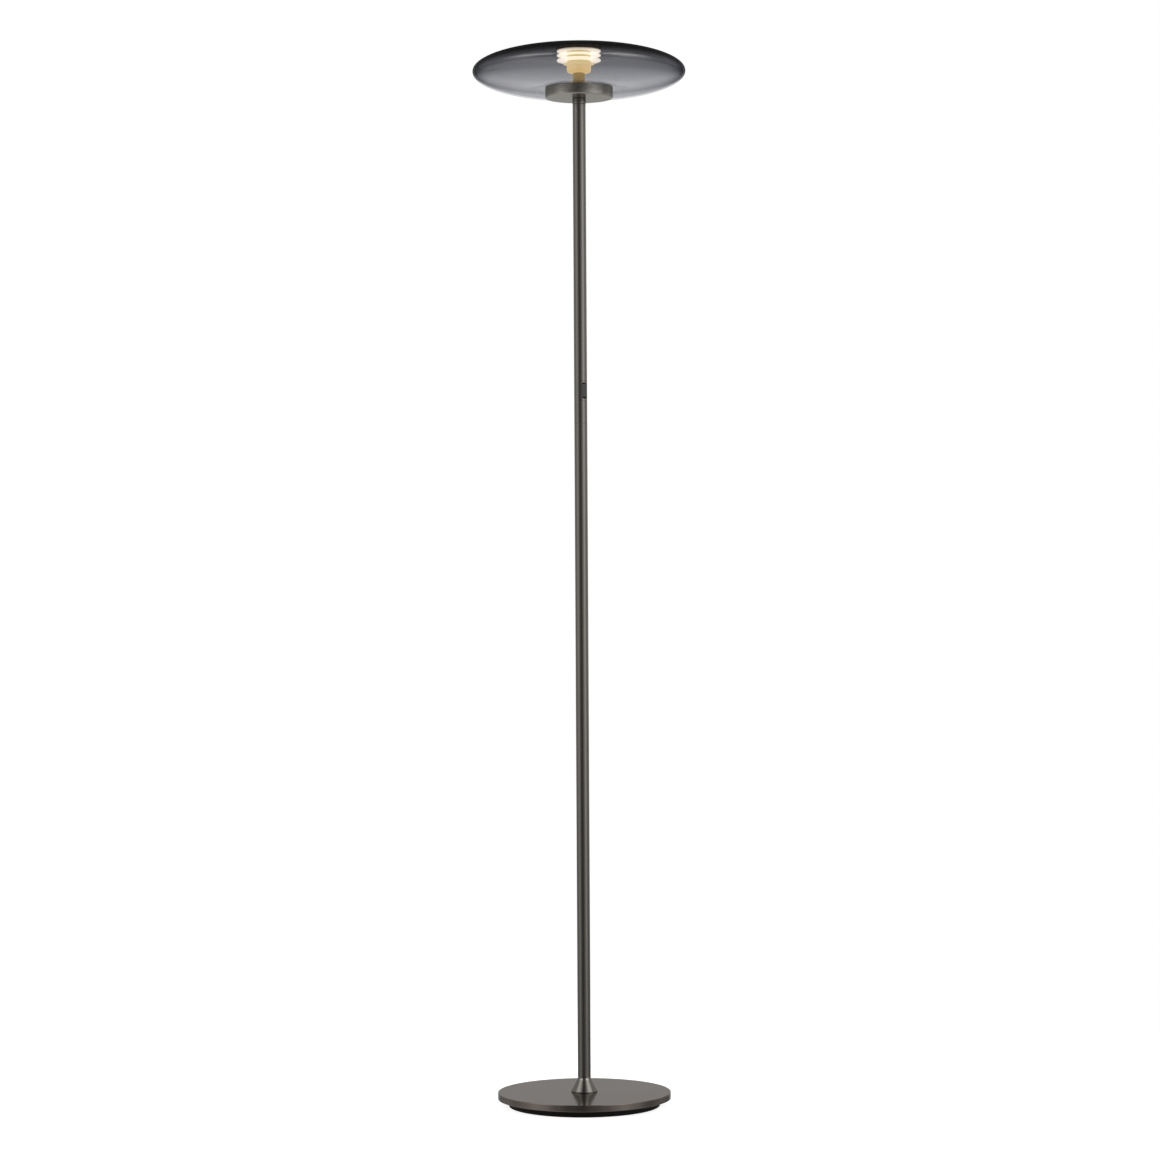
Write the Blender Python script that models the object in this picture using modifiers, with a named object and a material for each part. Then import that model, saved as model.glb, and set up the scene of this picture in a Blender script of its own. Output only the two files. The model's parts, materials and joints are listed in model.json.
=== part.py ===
"""Torchiere floor lamp: a weighted round foot, a three-section pole with a push dimmer,
and a lens-shaped smoked-glass shade around a stack of lit diffusers.

Metres, +Z up. The origin is on the floor, in the middle of the foot. The pole stands on the
Z axis, and every turned piece shares that axis.
"""

import math

import bmesh
import bpy
from mathutils import Matrix

# --- Fits -------------------------------------------------------------------------------
GAP = 0.0003          # between pieces that touch or screw together
OVERLAP = 0.0001      # between shapes that are joined, or that cut side by side
PAST = 0.001          # how far a cutter reaches past what it cuts
WIDE_ROUND = 48       # facets round the widest pieces
ROUND = 36            # facets round a turned piece
NARROW_ROUND = 24     # facets round a pole-sized piece
SMALL_ROUND = 16      # facets round a small turned piece
SCREW_ROUND = 10      # facets round a screw

# --- Foot -------------------------------------------------------------------------------
COVER_RADIUS = 0.1470         # the round metal top of the foot
COVER_TOP = 0.0230
COVER_SKIRT_LOW = 0.0120      # lower edge of the metal top
COVER_CORNER = 0.0008
SHEET = 0.0015                # sheet metal
FOOT_RADIUS = 0.1290          # the black disc set in under the metal top
FOOT_WALL = 0.0030
FOOT_PLATE = 0.0020
FOOT_LOW = 0.0018
PAD_HEIGHT = 0.0015           # anti-slip ring on the floor
PAD_INNER = 0.1170
PAD_OUTER = 0.1285
POCKET_RADIUS = 0.0160        # round pocket for the nut under the weight
POCKET_TOP = 0.0152
FOOT_SCREWS = 3
FOOT_SCREW_CIRCLE = 0.0600
FOOT_SCREW_START = 33.0       # degrees from +X to the first screw
PLATE_SCREWS = 4
PLATE_SCREW_CIRCLE = 0.1120
PLATE_SCREW_START = 48.0
BOSS_RADIUS = 0.0045          # round the pilot holes of the bottom plate's screws
LEAD_HEIGHT = 0.0064          # of the mains lead where it crosses the foot
GLAND_RADIUS = 0.0028
GLAND_FLANGE = 0.0043
GLAND_FLANGE_HEIGHT = 0.0018
GLAND_EDGE = 0.0008
GLAND_INSIDE = 0.0036         # how far the gland reaches in past the wall
CLAMP_Y = 0.0800
CLAMP_SCREW_X = 0.0080
CLAMP_HALF_LENGTH = 0.0110
CLAMP_HALF_WIDTH = 0.0040
CLAMP_EAR_LOW = 0.0056
SADDLE_HALF_LENGTH = 0.0040
FOOT_BEND = 0.0070            # of the mains lead, where it turns up into the pole

# --- Hollow threaded rod, nuts ----------------------------------------------------------
THREAD_RADIUS = 0.0050
THREAD_BORE = 0.0036
THREAD_SPARE = 0.0005         # of a rod past its nut
NUT_FLATS = 0.0160
NUT_HEIGHT = 0.0030
WASHER_RADIUS = 0.0120
WASHER_HEIGHT = 0.0010

# --- Screws -----------------------------------------------------------------------------
FOOT_SCREW = 0.0020           # radii of the threads and of their clearance holes
FOOT_SCREW_HOLE = FOOT_SCREW + GAP
SMALL_SCREW = 0.0013
SMALL_SCREW_HOLE = SMALL_SCREW + GAP
# Head radius, head height, shank radius and shank length.
FOOT_SCREW_SHAPE = (0.0038, 0.0022, FOOT_SCREW, 0.0070)
PLATE_SCREW_SHAPE = (0.0032, 0.0012, SMALL_SCREW, 0.0065)
CLAMP_SCREW_SHAPE = (0.0027, 0.0015, SMALL_SCREW, 0.0055)
HEAD_BAND = 0.65              # share of a head's height that is upright
HEAD_FACE = 0.80              # share of its radius that is flat

# --- Cone at the pole's foot ------------------------------------------------------------
CONE_RADIUS = 0.0225
CONE_BAND = 0.0016            # the short upright band under the cone
CONE_TOP = 0.0485
CONE_FILLET = 0.0105          # radius of the soft turn from the cone up to the pole

# --- Pole -------------------------------------------------------------------------------
POLE_RADIUS = 0.0110
POLE_WALL = 0.0012
JOINT_HEIGHTS = (0.6040, 1.1580)   # seams between the three pole sections
POLE_TOP = 1.7020
INSERT_RADIUS = POLE_RADIUS - POLE_WALL - GAP    # of what is fitted inside the pole
COUPLER_LENGTH = 0.0440
COUPLER_BORE = 0.0060
BUSH_LENGTH = 0.0200
NIPPLE_SHORT = 0.0020         # how far a nipple stays inside its bush's end
EDGE = 0.0003                 # chamfer on the tube ends

# --- Dimmer -----------------------------------------------------------------------------
DIMMER_HEIGHT = 1.2150        # middle of the dimmer
DIMMER_TURN = -38.0           # degrees from +X, about the pole, to the way it faces
SLOT_HALF_WIDTH = 0.0080
SLOT_HALF_LENGTH = 0.0170
BEZEL_HALF_WIDTH = SLOT_HALF_WIDTH - GAP
BEZEL_HALF_LENGTH = SLOT_HALF_LENGTH - GAP
BEZEL_BACK = 0.0052           # distances along the dimmer's facing, from the pole's axis
WINDOW_HALF_WIDTH = 0.0071
WINDOW_HALF_LENGTH = 0.0110
SCOOP_DEPTH = 0.0030          # the sloped ends of the bezel
SCOOP_LENGTH = 0.0045
BUTTON_HALF_WIDTH = WINDOW_HALF_WIDTH - GAP
BUTTON_HALF_LENGTH = WINDOW_HALF_LENGTH - GAP
BUTTON_FACE = 0.0109
BUTTON_BACK = 0.0039
FLANGE_FRONT = BEZEL_BACK - GAP
FLANGE_HALF_WIDTH = 0.0076
FLANGE_HALF_LENGTH = 0.0122
BUTTON_TRAVEL = 0.0012
KEY_BACK = BUTTON_BACK - OVERLAP - GAP     # what the plunger and the spring end at
OUTSIDE = 0.0150              # well clear of the pole, for cutters
BOARD_FRONT = -0.0050
BOARD_THICK = 0.0012
BOARD_HALF_WIDTH = 0.0064
BOARD_HALF_LENGTH = 0.0320
SWITCH_FRONT = -0.0005
SWITCH_HALF = 0.0030
PLUNGER_RADIUS = 0.0012
PLUNGER_LOW = -0.0028
SPRING_RADIUS = 0.0024
SPRING_WIRE = 0.00025
SPRING_TURNS = 3.5
HOLDER_LOW = 0.0270           # board holders, from the dimmer's middle
HOLDER_THICK = 0.0040
LEAD_OFFSET = -0.0014         # of the leads beside the board
LEAD_STOP = 0.0200            # how far from the dimmer's middle each lead ends
LEAD_BEND_NEAR = 0.0400       # between these distances it moves over from the pole's axis
LEAD_BEND_FAR = 0.0700

# --- Head: drum -------------------------------------------------------------------------
DRUM_RADIUS = 0.0575
DRUM_LOW = 1.7120
DRUM_TOP = 1.7315
DRUM_CORNER = 0.0030
HEAD_COLLAR_RADIUS = 0.0115
DRIVER_SIZE = (0.0600, 0.0240, 0.0105)
DRIVER_CENTRE_Y = 0.0290
TERMINAL_SIZE = (0.0240, 0.0120, 0.0090)
TERMINAL_CENTRE_Y = -0.0260
CASE_EDGE = 0.0010
LAMP_LEAD_BEND = 0.0045
LED_LEAD_BEND = 0.0036
LED_LEAD_DROP = 0.0026        # of the LED lead under the stem's nut

# --- Head: light engine -----------------------------------------------------------------
STEM_RADIUS = 0.0102
STEM_BORE = 0.0053
STEM_TOP = 1.7552
CUP_RADIUS = 0.0205
CUP_CORNER = 0.0050
CUP_WALL = 0.0020
CUP_FLOOR = 0.0030
CUP_INNER_CORNER = 0.0020
CUP_LIP = 0.0008
CUP_NECK_TOP = 1.7660
CUP_FLARE_RADIUS = 0.0265
CUP_TOP = 1.7708
DIFFUSER_RADIUS = 0.0375
DIFFUSER_WALL = 0.0020
# Low end, high end, and the low and high faces of the disc, of each diffuser.
DIFFUSERS = {
    "lower_diffuser": (1.7686, 1.7809, 1.7750, 1.7784),
    "middle_diffuser": (1.7812, 1.7881, 1.7843, 1.7861),
    "upper_diffuser": (1.7884, 1.7934, 1.7911, 1.7929),
}
LOWER_LED_RADIUS = 0.0160
UPPER_LED_RADIUS = 0.0295
UPPER_LED_BORE = 0.0040
CARRIER_RADIUS = 0.0382
CARRIER_LOW = 1.7937
CARRIER_TOP = 1.7962

# --- Head: glass ------------------------------------------------------------------------
SHADE_RADIUS = 0.1810
SHADE_HALF_HEIGHT = 0.0432
SHADE_MIDDLE = 1.7580
SHADE_THICK = 0.0030
SHADE_FULLNESS = 2.05         # exponent of the lens outline, 2 being an ellipse
SHADE_TOP_OPENING = 0.0350
SHADE_LOW_OPENING = 0.0500
SEAT_RADIUS = 0.0562          # of the flat underside that rests on the drum
DISH_RADIUS = 0.1060          # within it the underside rises to the seat
DISH_SLOPE = -0.12            # of the underside where it leaves the seat
DISH_STEPS = 5
OUTER_STEPS = 9               # of the glass's outline, above its rim and below it
INNER_STEPS = 7
SHEET_GASKET = 0.0004         # silicone under the glass, at both openings
SEAT_GASKET_RADIUS = 0.0545
TOP_GASKET_RADIUS = 0.0380
TRIM_RADIUS = 0.0383
TRIM_INNER = 0.0315
TRIM_LOW = 1.8007
TRIM_TOP = 1.8017
LENS_RADIUS = TRIM_INNER - GAP
LENS_SINK = 0.0012

# --- Leads ------------------------------------------------------------------------------
MAINS_LEAD_RADIUS = 0.0020
LAMP_LEAD_RADIUS = 0.0015
LED_LEAD_RADIUS = 0.0010

# Colour, roughness and metallic value of each finish.
FINISHES = {
    "dark_nickel": ((0.20, 0.19, 0.175), 0.30, 1.0),
    "steel": ((0.55, 0.55, 0.56), 0.35, 1.0),
    "cast_iron": ((0.10, 0.10, 0.10), 0.75, 1.0),
    "brass": ((0.70, 0.52, 0.25), 0.30, 1.0),
    "dark_bronze": ((0.10, 0.06, 0.035), 0.35, 1.0),
    "black_plastic": ((0.012, 0.010, 0.009), 0.50, 0.0),
    "black_rubber": ((0.020, 0.020, 0.020), 0.85, 0.0),
    "grey_plastic": ((0.060, 0.060, 0.060), 0.45, 0.0),
    "white_plastic": ((0.80, 0.80, 0.78), 0.40, 0.0),
    "circuit_board": ((0.03, 0.16, 0.06), 0.50, 0.0),
    "opal": ((0.95, 0.88, 0.72), 0.35, 0.0),
    "smoked_glass": ((0.12, 0.12, 0.13), 0.05, 0.0),
    "silicone": ((0.25, 0.25, 0.25), 0.60, 0.0),
}


# --- Scene and helpers ------------------------------------------------------------------
def clear_scene():
    for old in list(bpy.data.objects):
        bpy.data.objects.remove(old)


def new_collection(name):
    made = bpy.data.collections.new(name)
    bpy.context.scene.collection.children.link(made)
    return made


def material_for(name, finish):
    """A Principled BSDF of the part's own, in one of the finishes."""
    colour, roughness, metallic = FINISHES[finish]
    made = bpy.data.materials.new(name)
    made.use_nodes = True
    shader = made.node_tree.nodes["Principled BSDF"]
    shader.inputs["Base Color"].default_value = (*colour, 1.0)
    shader.inputs["Roughness"].default_value = roughness
    shader.inputs["Metallic"].default_value = metallic
    made.diffuse_color = (*colour, 1.0)
    return made


def add_part(name, data, finish, parent=None):
    """An object of the lamp, which becomes one sub-part."""
    piece = bpy.data.objects.new(name, data)
    data.materials.append(material_for(name, finish))
    piece.parent = parent
    PARTS.objects.link(piece)
    return piece


def add_cutter(name, data, parent=None):
    """An object that only shapes another one."""
    piece = bpy.data.objects.new(name, data)
    piece.parent = parent
    piece.hide_render = True
    piece.display_type = "WIRE"
    CUTTERS.objects.link(piece)
    return piece


def mesh_from(name, shape):
    data = bpy.data.meshes.new(name)
    shape.to_mesh(data)
    shape.free()
    return data


def cylinder_mesh(name, radius, low, high, sides=SMALL_ROUND, at=(0.0, 0.0), along="Z"):
    """A cylinder between two heights along an axis, about a point across that axis."""
    shape = bmesh.new()
    bmesh.ops.create_cone(
        shape, cap_ends=True, segments=sides, radius1=radius, radius2=radius, depth=high - low
    )
    # Turned by a quarter of a facet, so that no edge lines up with one of the piece it cuts.
    turn = Matrix.Rotation(math.tau / sides / 4, 4, "Z")
    bmesh.ops.transform(shape, matrix=turn, verts=shape.verts)
    middle = (low + high) / 2
    for vert in shape.verts:
        across_1, across_2, up = vert.co
        if along == "Z":
            vert.co = (at[0] + across_1, at[1] + across_2, middle + up)
        elif along == "Y":
            vert.co = (at[0] + across_2, middle + up, at[1] + across_1)
        else:
            vert.co = (middle + up, at[0] + across_1, at[1] + across_2)
    return mesh_from(name, shape)


def box_mesh(name, low, high):
    """A box between two corners."""
    shape = bmesh.new()
    bmesh.ops.create_cube(shape, size=1.0)
    size = [b - a for a, b in zip(low, high)]
    middle = [(a + b) / 2 for a, b in zip(low, high)]
    bmesh.ops.scale(shape, vec=size, verts=shape.verts)
    bmesh.ops.translate(shape, vec=middle, verts=shape.verts)
    return mesh_from(name, shape)


def arc(centre_r, centre_z, radius, start, end, steps):
    """Points of a profile along an arc, with angles in degrees from +X towards +Z."""
    points = []
    for step in range(steps + 1):
        angle = math.radians(start + (end - start) * step / steps)
        points.append((centre_r + radius * math.cos(angle), centre_z + radius * math.sin(angle)))
    return points


def ring_profile(outer, inner, low, high):
    return [(outer, high), (outer, low), (inner, low), (inner, high)]


def disc_profile(radius, low, high):
    return [(0.0, high), (radius, high), (radius, low), (0.0, low)]


def turned(name, profile, finish, steps=ROUND, at=(0.0, 0.0, 0.0), parent=None):
    """A turned piece. Its profile runs down the outer side, and closes on itself unless it
    ends on the axis."""
    shape = bmesh.new()
    verts = [shape.verts.new((r, 0.0, z)) for r, z in profile]
    on_axis = profile[0][0] == 0.0 and profile[-1][0] == 0.0
    for first, second in zip(verts, verts[1:]):
        shape.edges.new((first, second))
    if not on_axis:
        shape.edges.new((verts[-1], verts[0]))
    piece = add_part(name, mesh_from(name, shape), finish, parent)
    piece.location = at
    screw = piece.modifiers.new("turn", "SCREW")
    screw.axis = "Z"
    screw.angle = math.tau
    screw.steps = steps
    screw.render_steps = steps
    screw.use_merge_vertices = True
    screw.merge_threshold = 0.00001
    screw.use_smooth_shade = True
    return piece


def boolean(piece, other, operation):
    step = piece.modifiers.new(other.name, "BOOLEAN")
    step.operation = operation
    step.solver = "EXACT"
    step.object = other


def cut(piece, name, data, parent=None):
    boolean(piece, add_cutter(name, data, parent), "DIFFERENCE")


def join(piece, name, data, parent=None):
    boolean(piece, add_cutter(name, data, parent), "UNION")


def soften(piece, width, segments=1):
    bevel = piece.modifiers.new("soft_edges", "BEVEL")
    bevel.width = width
    bevel.segments = segments
    bevel.limit_method = "ANGLE"


def nut(name, low, finish="steel"):
    """A hexagon nut on the threaded rod's axis."""
    radius = NUT_FLATS / 2 / math.cos(math.pi / 6)
    piece = add_part(name, cylinder_mesh(name, radius, low, low + NUT_HEIGHT, sides=6), finish)
    hole = cylinder_mesh(name + "_bore", BORE, low - PAST, low + NUT_HEIGHT + PAST)
    cut(piece, name + "_bore", hole)
    return piece


def threaded_rod(name, low, high):
    """Hollow threaded rod, which leads pass through."""
    profile = ring_profile(THREAD_RADIUS, THREAD_BORE, low, high)
    return turned(name, profile, "steel", SMALL_ROUND)


def screw(name, at, seat, shape):
    """A screw that points up at a place in the plane, with its head's upper face at seat."""
    head_radius, head_height, shank_radius, shank_length = shape
    profile = [
        (0.0, shank_length),
        (shank_radius, shank_length),
        (shank_radius, 0.0),
        (head_radius, 0.0),
        (head_radius, -HEAD_BAND * head_height),
        (HEAD_FACE * head_radius, -head_height),
        (0.0, -head_height),
    ]
    return turned(name, profile, "steel", SCREW_ROUND, (*at, seat))


def circle_points(radius, count, start):
    """Points on a circle, from a start angle in degrees."""
    for index in range(count):
        angle = math.radians(start + 360.0 * index / count)
        yield radius * math.cos(angle), radius * math.sin(angle)


def lead(name, route, radius, finish, parent=None):
    """A wire along the route's points."""
    data = bpy.data.curves.new(name, "CURVE")
    data.dimensions = "3D"
    data.bevel_depth = radius
    data.bevel_resolution = 2
    data.use_fill_caps = True
    spline = data.splines.new("POLY")
    spline.points.add(len(route) - 1)
    for point, place in zip(spline.points, route):
        point.co = (*place, 1.0)
    return add_part(name, data, finish, parent)


def blend_route(start, end, steps):
    """Points that ease from one vertical line to another, as a lead does in a tube."""
    points = []
    for step in range(steps + 1):
        part = step / steps
        ease = part * part * (3 - 2 * part)
        x = start[0] + (end[0] - start[0]) * ease
        y = start[1] + (end[1] - start[1]) * ease
        points.append((x, y, start[2] + (end[2] - start[2]) * part))
    return points


def turn_up(bend, height):
    """A quarter turn from running in along -Y, at a height, to running up the axis."""
    points = []
    for step in range(9):
        angle = math.radians(90.0 * step / 8)
        points.append((0.0, bend * (1 - math.sin(angle)), height + bend * (1 - math.cos(angle))))
    return points


def facing(distance, across, up):
    """A place by the dimmer: along its facing, across it, and above its middle."""
    turn = math.radians(DIMMER_TURN)
    x = distance * math.cos(turn) - across * math.sin(turn)
    y = distance * math.sin(turn) + across * math.cos(turn)
    return x, y, DIMMER_HEIGHT + up


# --- Foot -------------------------------------------------------------------------------
FOOT_TOP = COVER_SKIRT_LOW - GAP
FOOT_PLATE_LOW = FOOT_TOP - FOOT_PLATE
WEIGHT_LOW = COVER_SKIRT_LOW
WEIGHT_TOP = COVER_TOP - SHEET - GAP
PLATE_TOP = FOOT_LOW + SHEET
BORE = THREAD_RADIUS + GAP


def anti_slip_ring():
    turned("anti_slip_ring", ring_profile(PAD_OUTER, PAD_INNER, 0.0, PAD_HEIGHT), "black_rubber")


def bottom_plate():
    radius = FOOT_RADIUS - FOOT_WALL - GAP
    plate = turned("bottom_plate", disc_profile(radius, FOOT_LOW, PLATE_TOP), "steel")
    places = circle_points(PLATE_SCREW_CIRCLE, PLATE_SCREWS, PLATE_SCREW_START)
    for index, at in enumerate(places, 1):
        name = f"bottom_plate_hole_{index}"
        hole = cylinder_mesh(name, SMALL_SCREW_HOLE, FOOT_LOW - PAST, PLATE_TOP + PAST, SCREW_ROUND, at)
        cut(plate, name, hole)
        screw(f"bottom_plate_screw_{index}", at, FOOT_LOW - GAP, PLATE_SCREW_SHAPE)


def through_plate(name, radius, at):
    """A cutter through the foot disc's top plate."""
    return cylinder_mesh(name, radius, FOOT_PLATE_LOW - PAST, FOOT_TOP + PAST, SCREW_ROUND, at)


def foot_disc():
    """The black disc under the metal top: a tray that opens downwards."""
    inner = FOOT_RADIUS - FOOT_WALL
    profile = [
        (POCKET_RADIUS, FOOT_TOP),
        (FOOT_RADIUS - EDGE, FOOT_TOP),
        (FOOT_RADIUS, FOOT_TOP - EDGE),
        (FOOT_RADIUS, FOOT_LOW + EDGE),
        (FOOT_RADIUS - EDGE, FOOT_LOW),
        (inner, FOOT_LOW),
        (inner, FOOT_PLATE_LOW),
        (POCKET_RADIUS, FOOT_PLATE_LOW),
    ]
    disc = turned("foot_disc", profile, "black_plastic", WIDE_ROUND)
    boss_low = PLATE_TOP + GAP
    places = circle_points(PLATE_SCREW_CIRCLE, PLATE_SCREWS, PLATE_SCREW_START)
    for index, at in enumerate(places, 1):
        name = f"foot_boss_{index}"
        boss_top = FOOT_PLATE_LOW + FOOT_PLATE / 2
        join(disc, name, cylinder_mesh(name, BOSS_RADIUS, boss_low, boss_top, SCREW_ROUND, at))
        name = f"foot_pilot_{index}"
        pilot_top = FOOT_PLATE_LOW + FOOT_PLATE / 4
        pilot = cylinder_mesh(name, SMALL_SCREW_HOLE, boss_low - PAST, pilot_top, SCREW_ROUND, at)
        cut(disc, name, pilot)
    places = circle_points(FOOT_SCREW_CIRCLE, FOOT_SCREWS, FOOT_SCREW_START)
    for index, at in enumerate(places, 1):
        name = f"foot_screw_hole_{index}"
        cut(disc, name, through_plate(name, FOOT_SCREW_HOLE, at))
        screw(f"foot_screw_{index}", at, FOOT_PLATE_LOW - GAP, FOOT_SCREW_SHAPE)
    for index, side in enumerate((-1, 1), 1):
        name = f"clamp_pilot_{index}"
        at = (side * CLAMP_SCREW_X, CLAMP_Y)
        cut(disc, name, through_plate(name, SMALL_SCREW_HOLE, at))
    name = "lead_outlet"
    at = (0.0, LEAD_HEIGHT)
    bore = GLAND_RADIUS + GAP
    outlet = cylinder_mesh(name, bore, inner - PAST, FOOT_RADIUS + PAST, SMALL_ROUND, at, "Y")
    cut(disc, name, outlet)


def base_weight():
    profile = [
        (BORE, WEIGHT_TOP),
        (COVER_RADIUS - SHEET - GAP, WEIGHT_TOP),
        (COVER_RADIUS - SHEET - GAP, WEIGHT_LOW),
        (POCKET_RADIUS, WEIGHT_LOW),
        (POCKET_RADIUS, POCKET_TOP),
        (BORE, POCKET_TOP),
    ]
    weight = turned("base_weight", profile, "cast_iron")
    for index, at in enumerate(circle_points(FOOT_SCREW_CIRCLE, FOOT_SCREWS, FOOT_SCREW_START), 1):
        name = f"weight_hole_{index}"
        hole_top = FOOT_PLATE_LOW + FOOT_SCREW_SHAPE[3] + PAST
        hole = cylinder_mesh(name, FOOT_SCREW_HOLE, WEIGHT_LOW - PAST, hole_top, SCREW_ROUND, at)
        cut(weight, name, hole)


def base_cover():
    top = arc(COVER_RADIUS - COVER_CORNER, COVER_TOP - COVER_CORNER, COVER_CORNER, 90, 0, 3)
    profile = [(BORE, COVER_TOP), *top, (COVER_RADIUS, COVER_SKIRT_LOW)]
    profile += [
        (COVER_RADIUS - SHEET, COVER_SKIRT_LOW),
        (COVER_RADIUS - SHEET, COVER_TOP - SHEET),
        (BORE, COVER_TOP - SHEET),
    ]
    turned("base_cover", profile, "dark_nickel", WIDE_ROUND)


def base_collar():
    """A cone with an upright band under it, and a soft turn up to the pole."""
    band_top = COVER_TOP + GAP + CONE_BAND
    # The fillet ends where a line from the band's corner touches it.
    centre = POLE_RADIUS + CONE_FILLET
    rise = CONE_TOP - band_top
    run = CONE_RADIUS - centre
    lean = math.atan2(run, rise) + math.asin(CONE_FILLET / math.hypot(run, rise))
    turn = arc(centre, CONE_TOP, CONE_FILLET, 180, 180 + math.degrees(lean), 3)
    profile = [
        *turn,
        (CONE_RADIUS, band_top),
        (CONE_RADIUS, COVER_TOP + GAP),
        (BORE, COVER_TOP + GAP),
        (BORE, CONE_TOP),
    ]
    turned("base_collar", profile, "dark_nickel", NARROW_ROUND)


def foot_fixings():
    washer_low = POCKET_TOP - GAP - WASHER_HEIGHT
    nut_low = washer_low - GAP - NUT_HEIGHT
    turned(
        "base_washer",
        ring_profile(WASHER_RADIUS, BORE, washer_low, washer_low + WASHER_HEIGHT),
        "steel",
        SMALL_ROUND,
    )
    nut("base_nut", nut_low)
    threaded_rod("threaded_nipple", nut_low - THREAD_SPARE, CONE_TOP + GAP + BUSH_LENGTH - NIPPLE_SHORT)


def cable_gland():
    """A rubber bush through the foot's rear wall, for the mains lead."""
    bore = MAINS_LEAD_RADIUS + GAP
    flange_low = FOOT_WALL + GAP
    flange_high = flange_low + GLAND_FLANGE_HEIGHT
    profile = [
        (bore, flange_high),
        (GLAND_FLANGE - GLAND_EDGE, flange_high),
        (GLAND_FLANGE, flange_high - GLAND_EDGE),
        (GLAND_FLANGE, flange_low),
        (GLAND_RADIUS, flange_low),
        (GLAND_RADIUS, -GLAND_INSIDE),
        (bore, -GLAND_INSIDE),
    ]
    at = (0.0, FOOT_RADIUS - FOOT_WALL, LEAD_HEIGHT)
    gland = turned("cable_gland", profile, "black_rubber", SMALL_ROUND, at)
    gland.rotation_euler = (math.radians(-90), 0.0, 0.0)


def lead_clamp():
    """A saddle over the lead, with an ear and a screw at each side."""
    front = CLAMP_Y - CLAMP_HALF_WIDTH
    back = CLAMP_Y + CLAMP_HALF_WIDTH
    ears = box_mesh(
        "lead_clamp",
        (-CLAMP_HALF_LENGTH, front, CLAMP_EAR_LOW),
        (CLAMP_HALF_LENGTH, back, FOOT_PLATE_LOW - GAP),
    )
    clamp = add_part("lead_clamp", ears, "grey_plastic")
    saddle = box_mesh(
        "lead_clamp_saddle",
        (-SADDLE_HALF_LENGTH, front + OVERLAP, PLATE_TOP + GAP),
        (SADDLE_HALF_LENGTH, back - OVERLAP, CLAMP_EAR_LOW + PAST),
    )
    join(clamp, "lead_clamp_saddle", saddle)
    name = "lead_clamp_tunnel"
    at = (0.0, LEAD_HEIGHT)
    reach = 2 * CLAMP_HALF_WIDTH
    bore = MAINS_LEAD_RADIUS + GAP
    tunnel = cylinder_mesh(name, bore, CLAMP_Y - reach, CLAMP_Y + reach, SMALL_ROUND, at, "Y")
    cut(clamp, name, tunnel)
    for index, side in enumerate((-1, 1), 1):
        at = (side * CLAMP_SCREW_X, CLAMP_Y)
        name = f"lead_clamp_hole_{index}"
        low = CLAMP_EAR_LOW - PAST
        cut(clamp, name, cylinder_mesh(name, SMALL_SCREW_HOLE, low, FOOT_TOP, SCREW_ROUND, at))
        screw(f"lead_clamp_screw_{index}", at, CLAMP_EAR_LOW - GAP, CLAMP_SCREW_SHAPE)


def mains_lead():
    """From the gland, across the foot, and up the pole to the dimmer."""
    outer_end = FOOT_RADIUS - FOOT_WALL / 2
    route = [(0.0, y, LEAD_HEIGHT) for y in (outer_end, 0.100, 0.070, 0.040, 0.020)]
    route += turn_up(FOOT_BEND, LEAD_HEIGHT)
    route += [(0.0, 0.0, z) for z in (0.10, 0.35, 0.60, 0.85, 1.00)]
    end = facing(LEAD_OFFSET, 0.0, -LEAD_STOP)
    straight_end = (0.0, 0.0, DIMMER_HEIGHT - LEAD_BEND_FAR)
    offset_start = (end[0], end[1], DIMMER_HEIGHT - LEAD_BEND_NEAR)
    route += blend_route(straight_end, offset_start, 5)
    route.append(end)
    lead("mains_lead", route, MAINS_LEAD_RADIUS, "black_plastic")


# --- Pole -------------------------------------------------------------------------------
def tube_profile(low, high):
    inner = POLE_RADIUS - POLE_WALL
    return [
        (POLE_RADIUS - EDGE, high),
        (POLE_RADIUS, high - EDGE),
        (POLE_RADIUS, low + EDGE),
        (POLE_RADIUS - EDGE, low),
        (inner, low),
        (inner, high),
    ]


def pole():
    first_seam, second_seam = JOINT_HEIGHTS
    half = GAP / 2
    low = CONE_TOP + GAP
    sections = {
        "lower_tube": (low, first_seam - half),
        "middle_tube": (first_seam + half, second_seam - half),
        "upper_tube": (second_seam + half, POLE_TOP),
    }
    tubes = {}
    for name, ends in sections.items():
        tubes[name] = turned(name, tube_profile(*ends), "dark_nickel", NARROW_ROUND)

    for name, middle in zip(("lower_coupler", "upper_coupler"), JOINT_HEIGHTS):
        ends = (middle - COUPLER_LENGTH / 2, middle + COUPLER_LENGTH / 2)
        turned(name, ring_profile(INSERT_RADIUS, COUPLER_BORE, *ends), "steel", SMALL_ROUND)
    turned(
        "lower_bush",
        ring_profile(INSERT_RADIUS, BORE, low, low + BUSH_LENGTH),
        "brass",
        SMALL_ROUND,
    )
    turned(
        "top_bush",
        ring_profile(INSERT_RADIUS, BORE, POLE_TOP - BUSH_LENGTH, POLE_TOP),
        "brass",
        SMALL_ROUND,
    )
    return tubes["upper_tube"]


# --- Dimmer -----------------------------------------------------------------------------
def dimmer(upper_tube):
    axis = bpy.data.objects.new("dimmer_axis", None)
    axis.location = (0.0, 0.0, DIMMER_HEIGHT)
    axis.rotation_euler = (0.0, 0.0, math.radians(DIMMER_TURN))
    PARTS.objects.link(axis)

    slot = box_mesh(
        "dimmer_slot",
        (0.0, -SLOT_HALF_WIDTH, -SLOT_HALF_LENGTH),
        (OUTSIDE, SLOT_HALF_WIDTH, SLOT_HALF_LENGTH),
    )
    cut(upper_tube, "dimmer_slot", slot, axis)
    dimmer_bezel(axis)
    dimmer_button(axis)
    dimmer_switch(axis)
    dimmer_board(axis)


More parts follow.
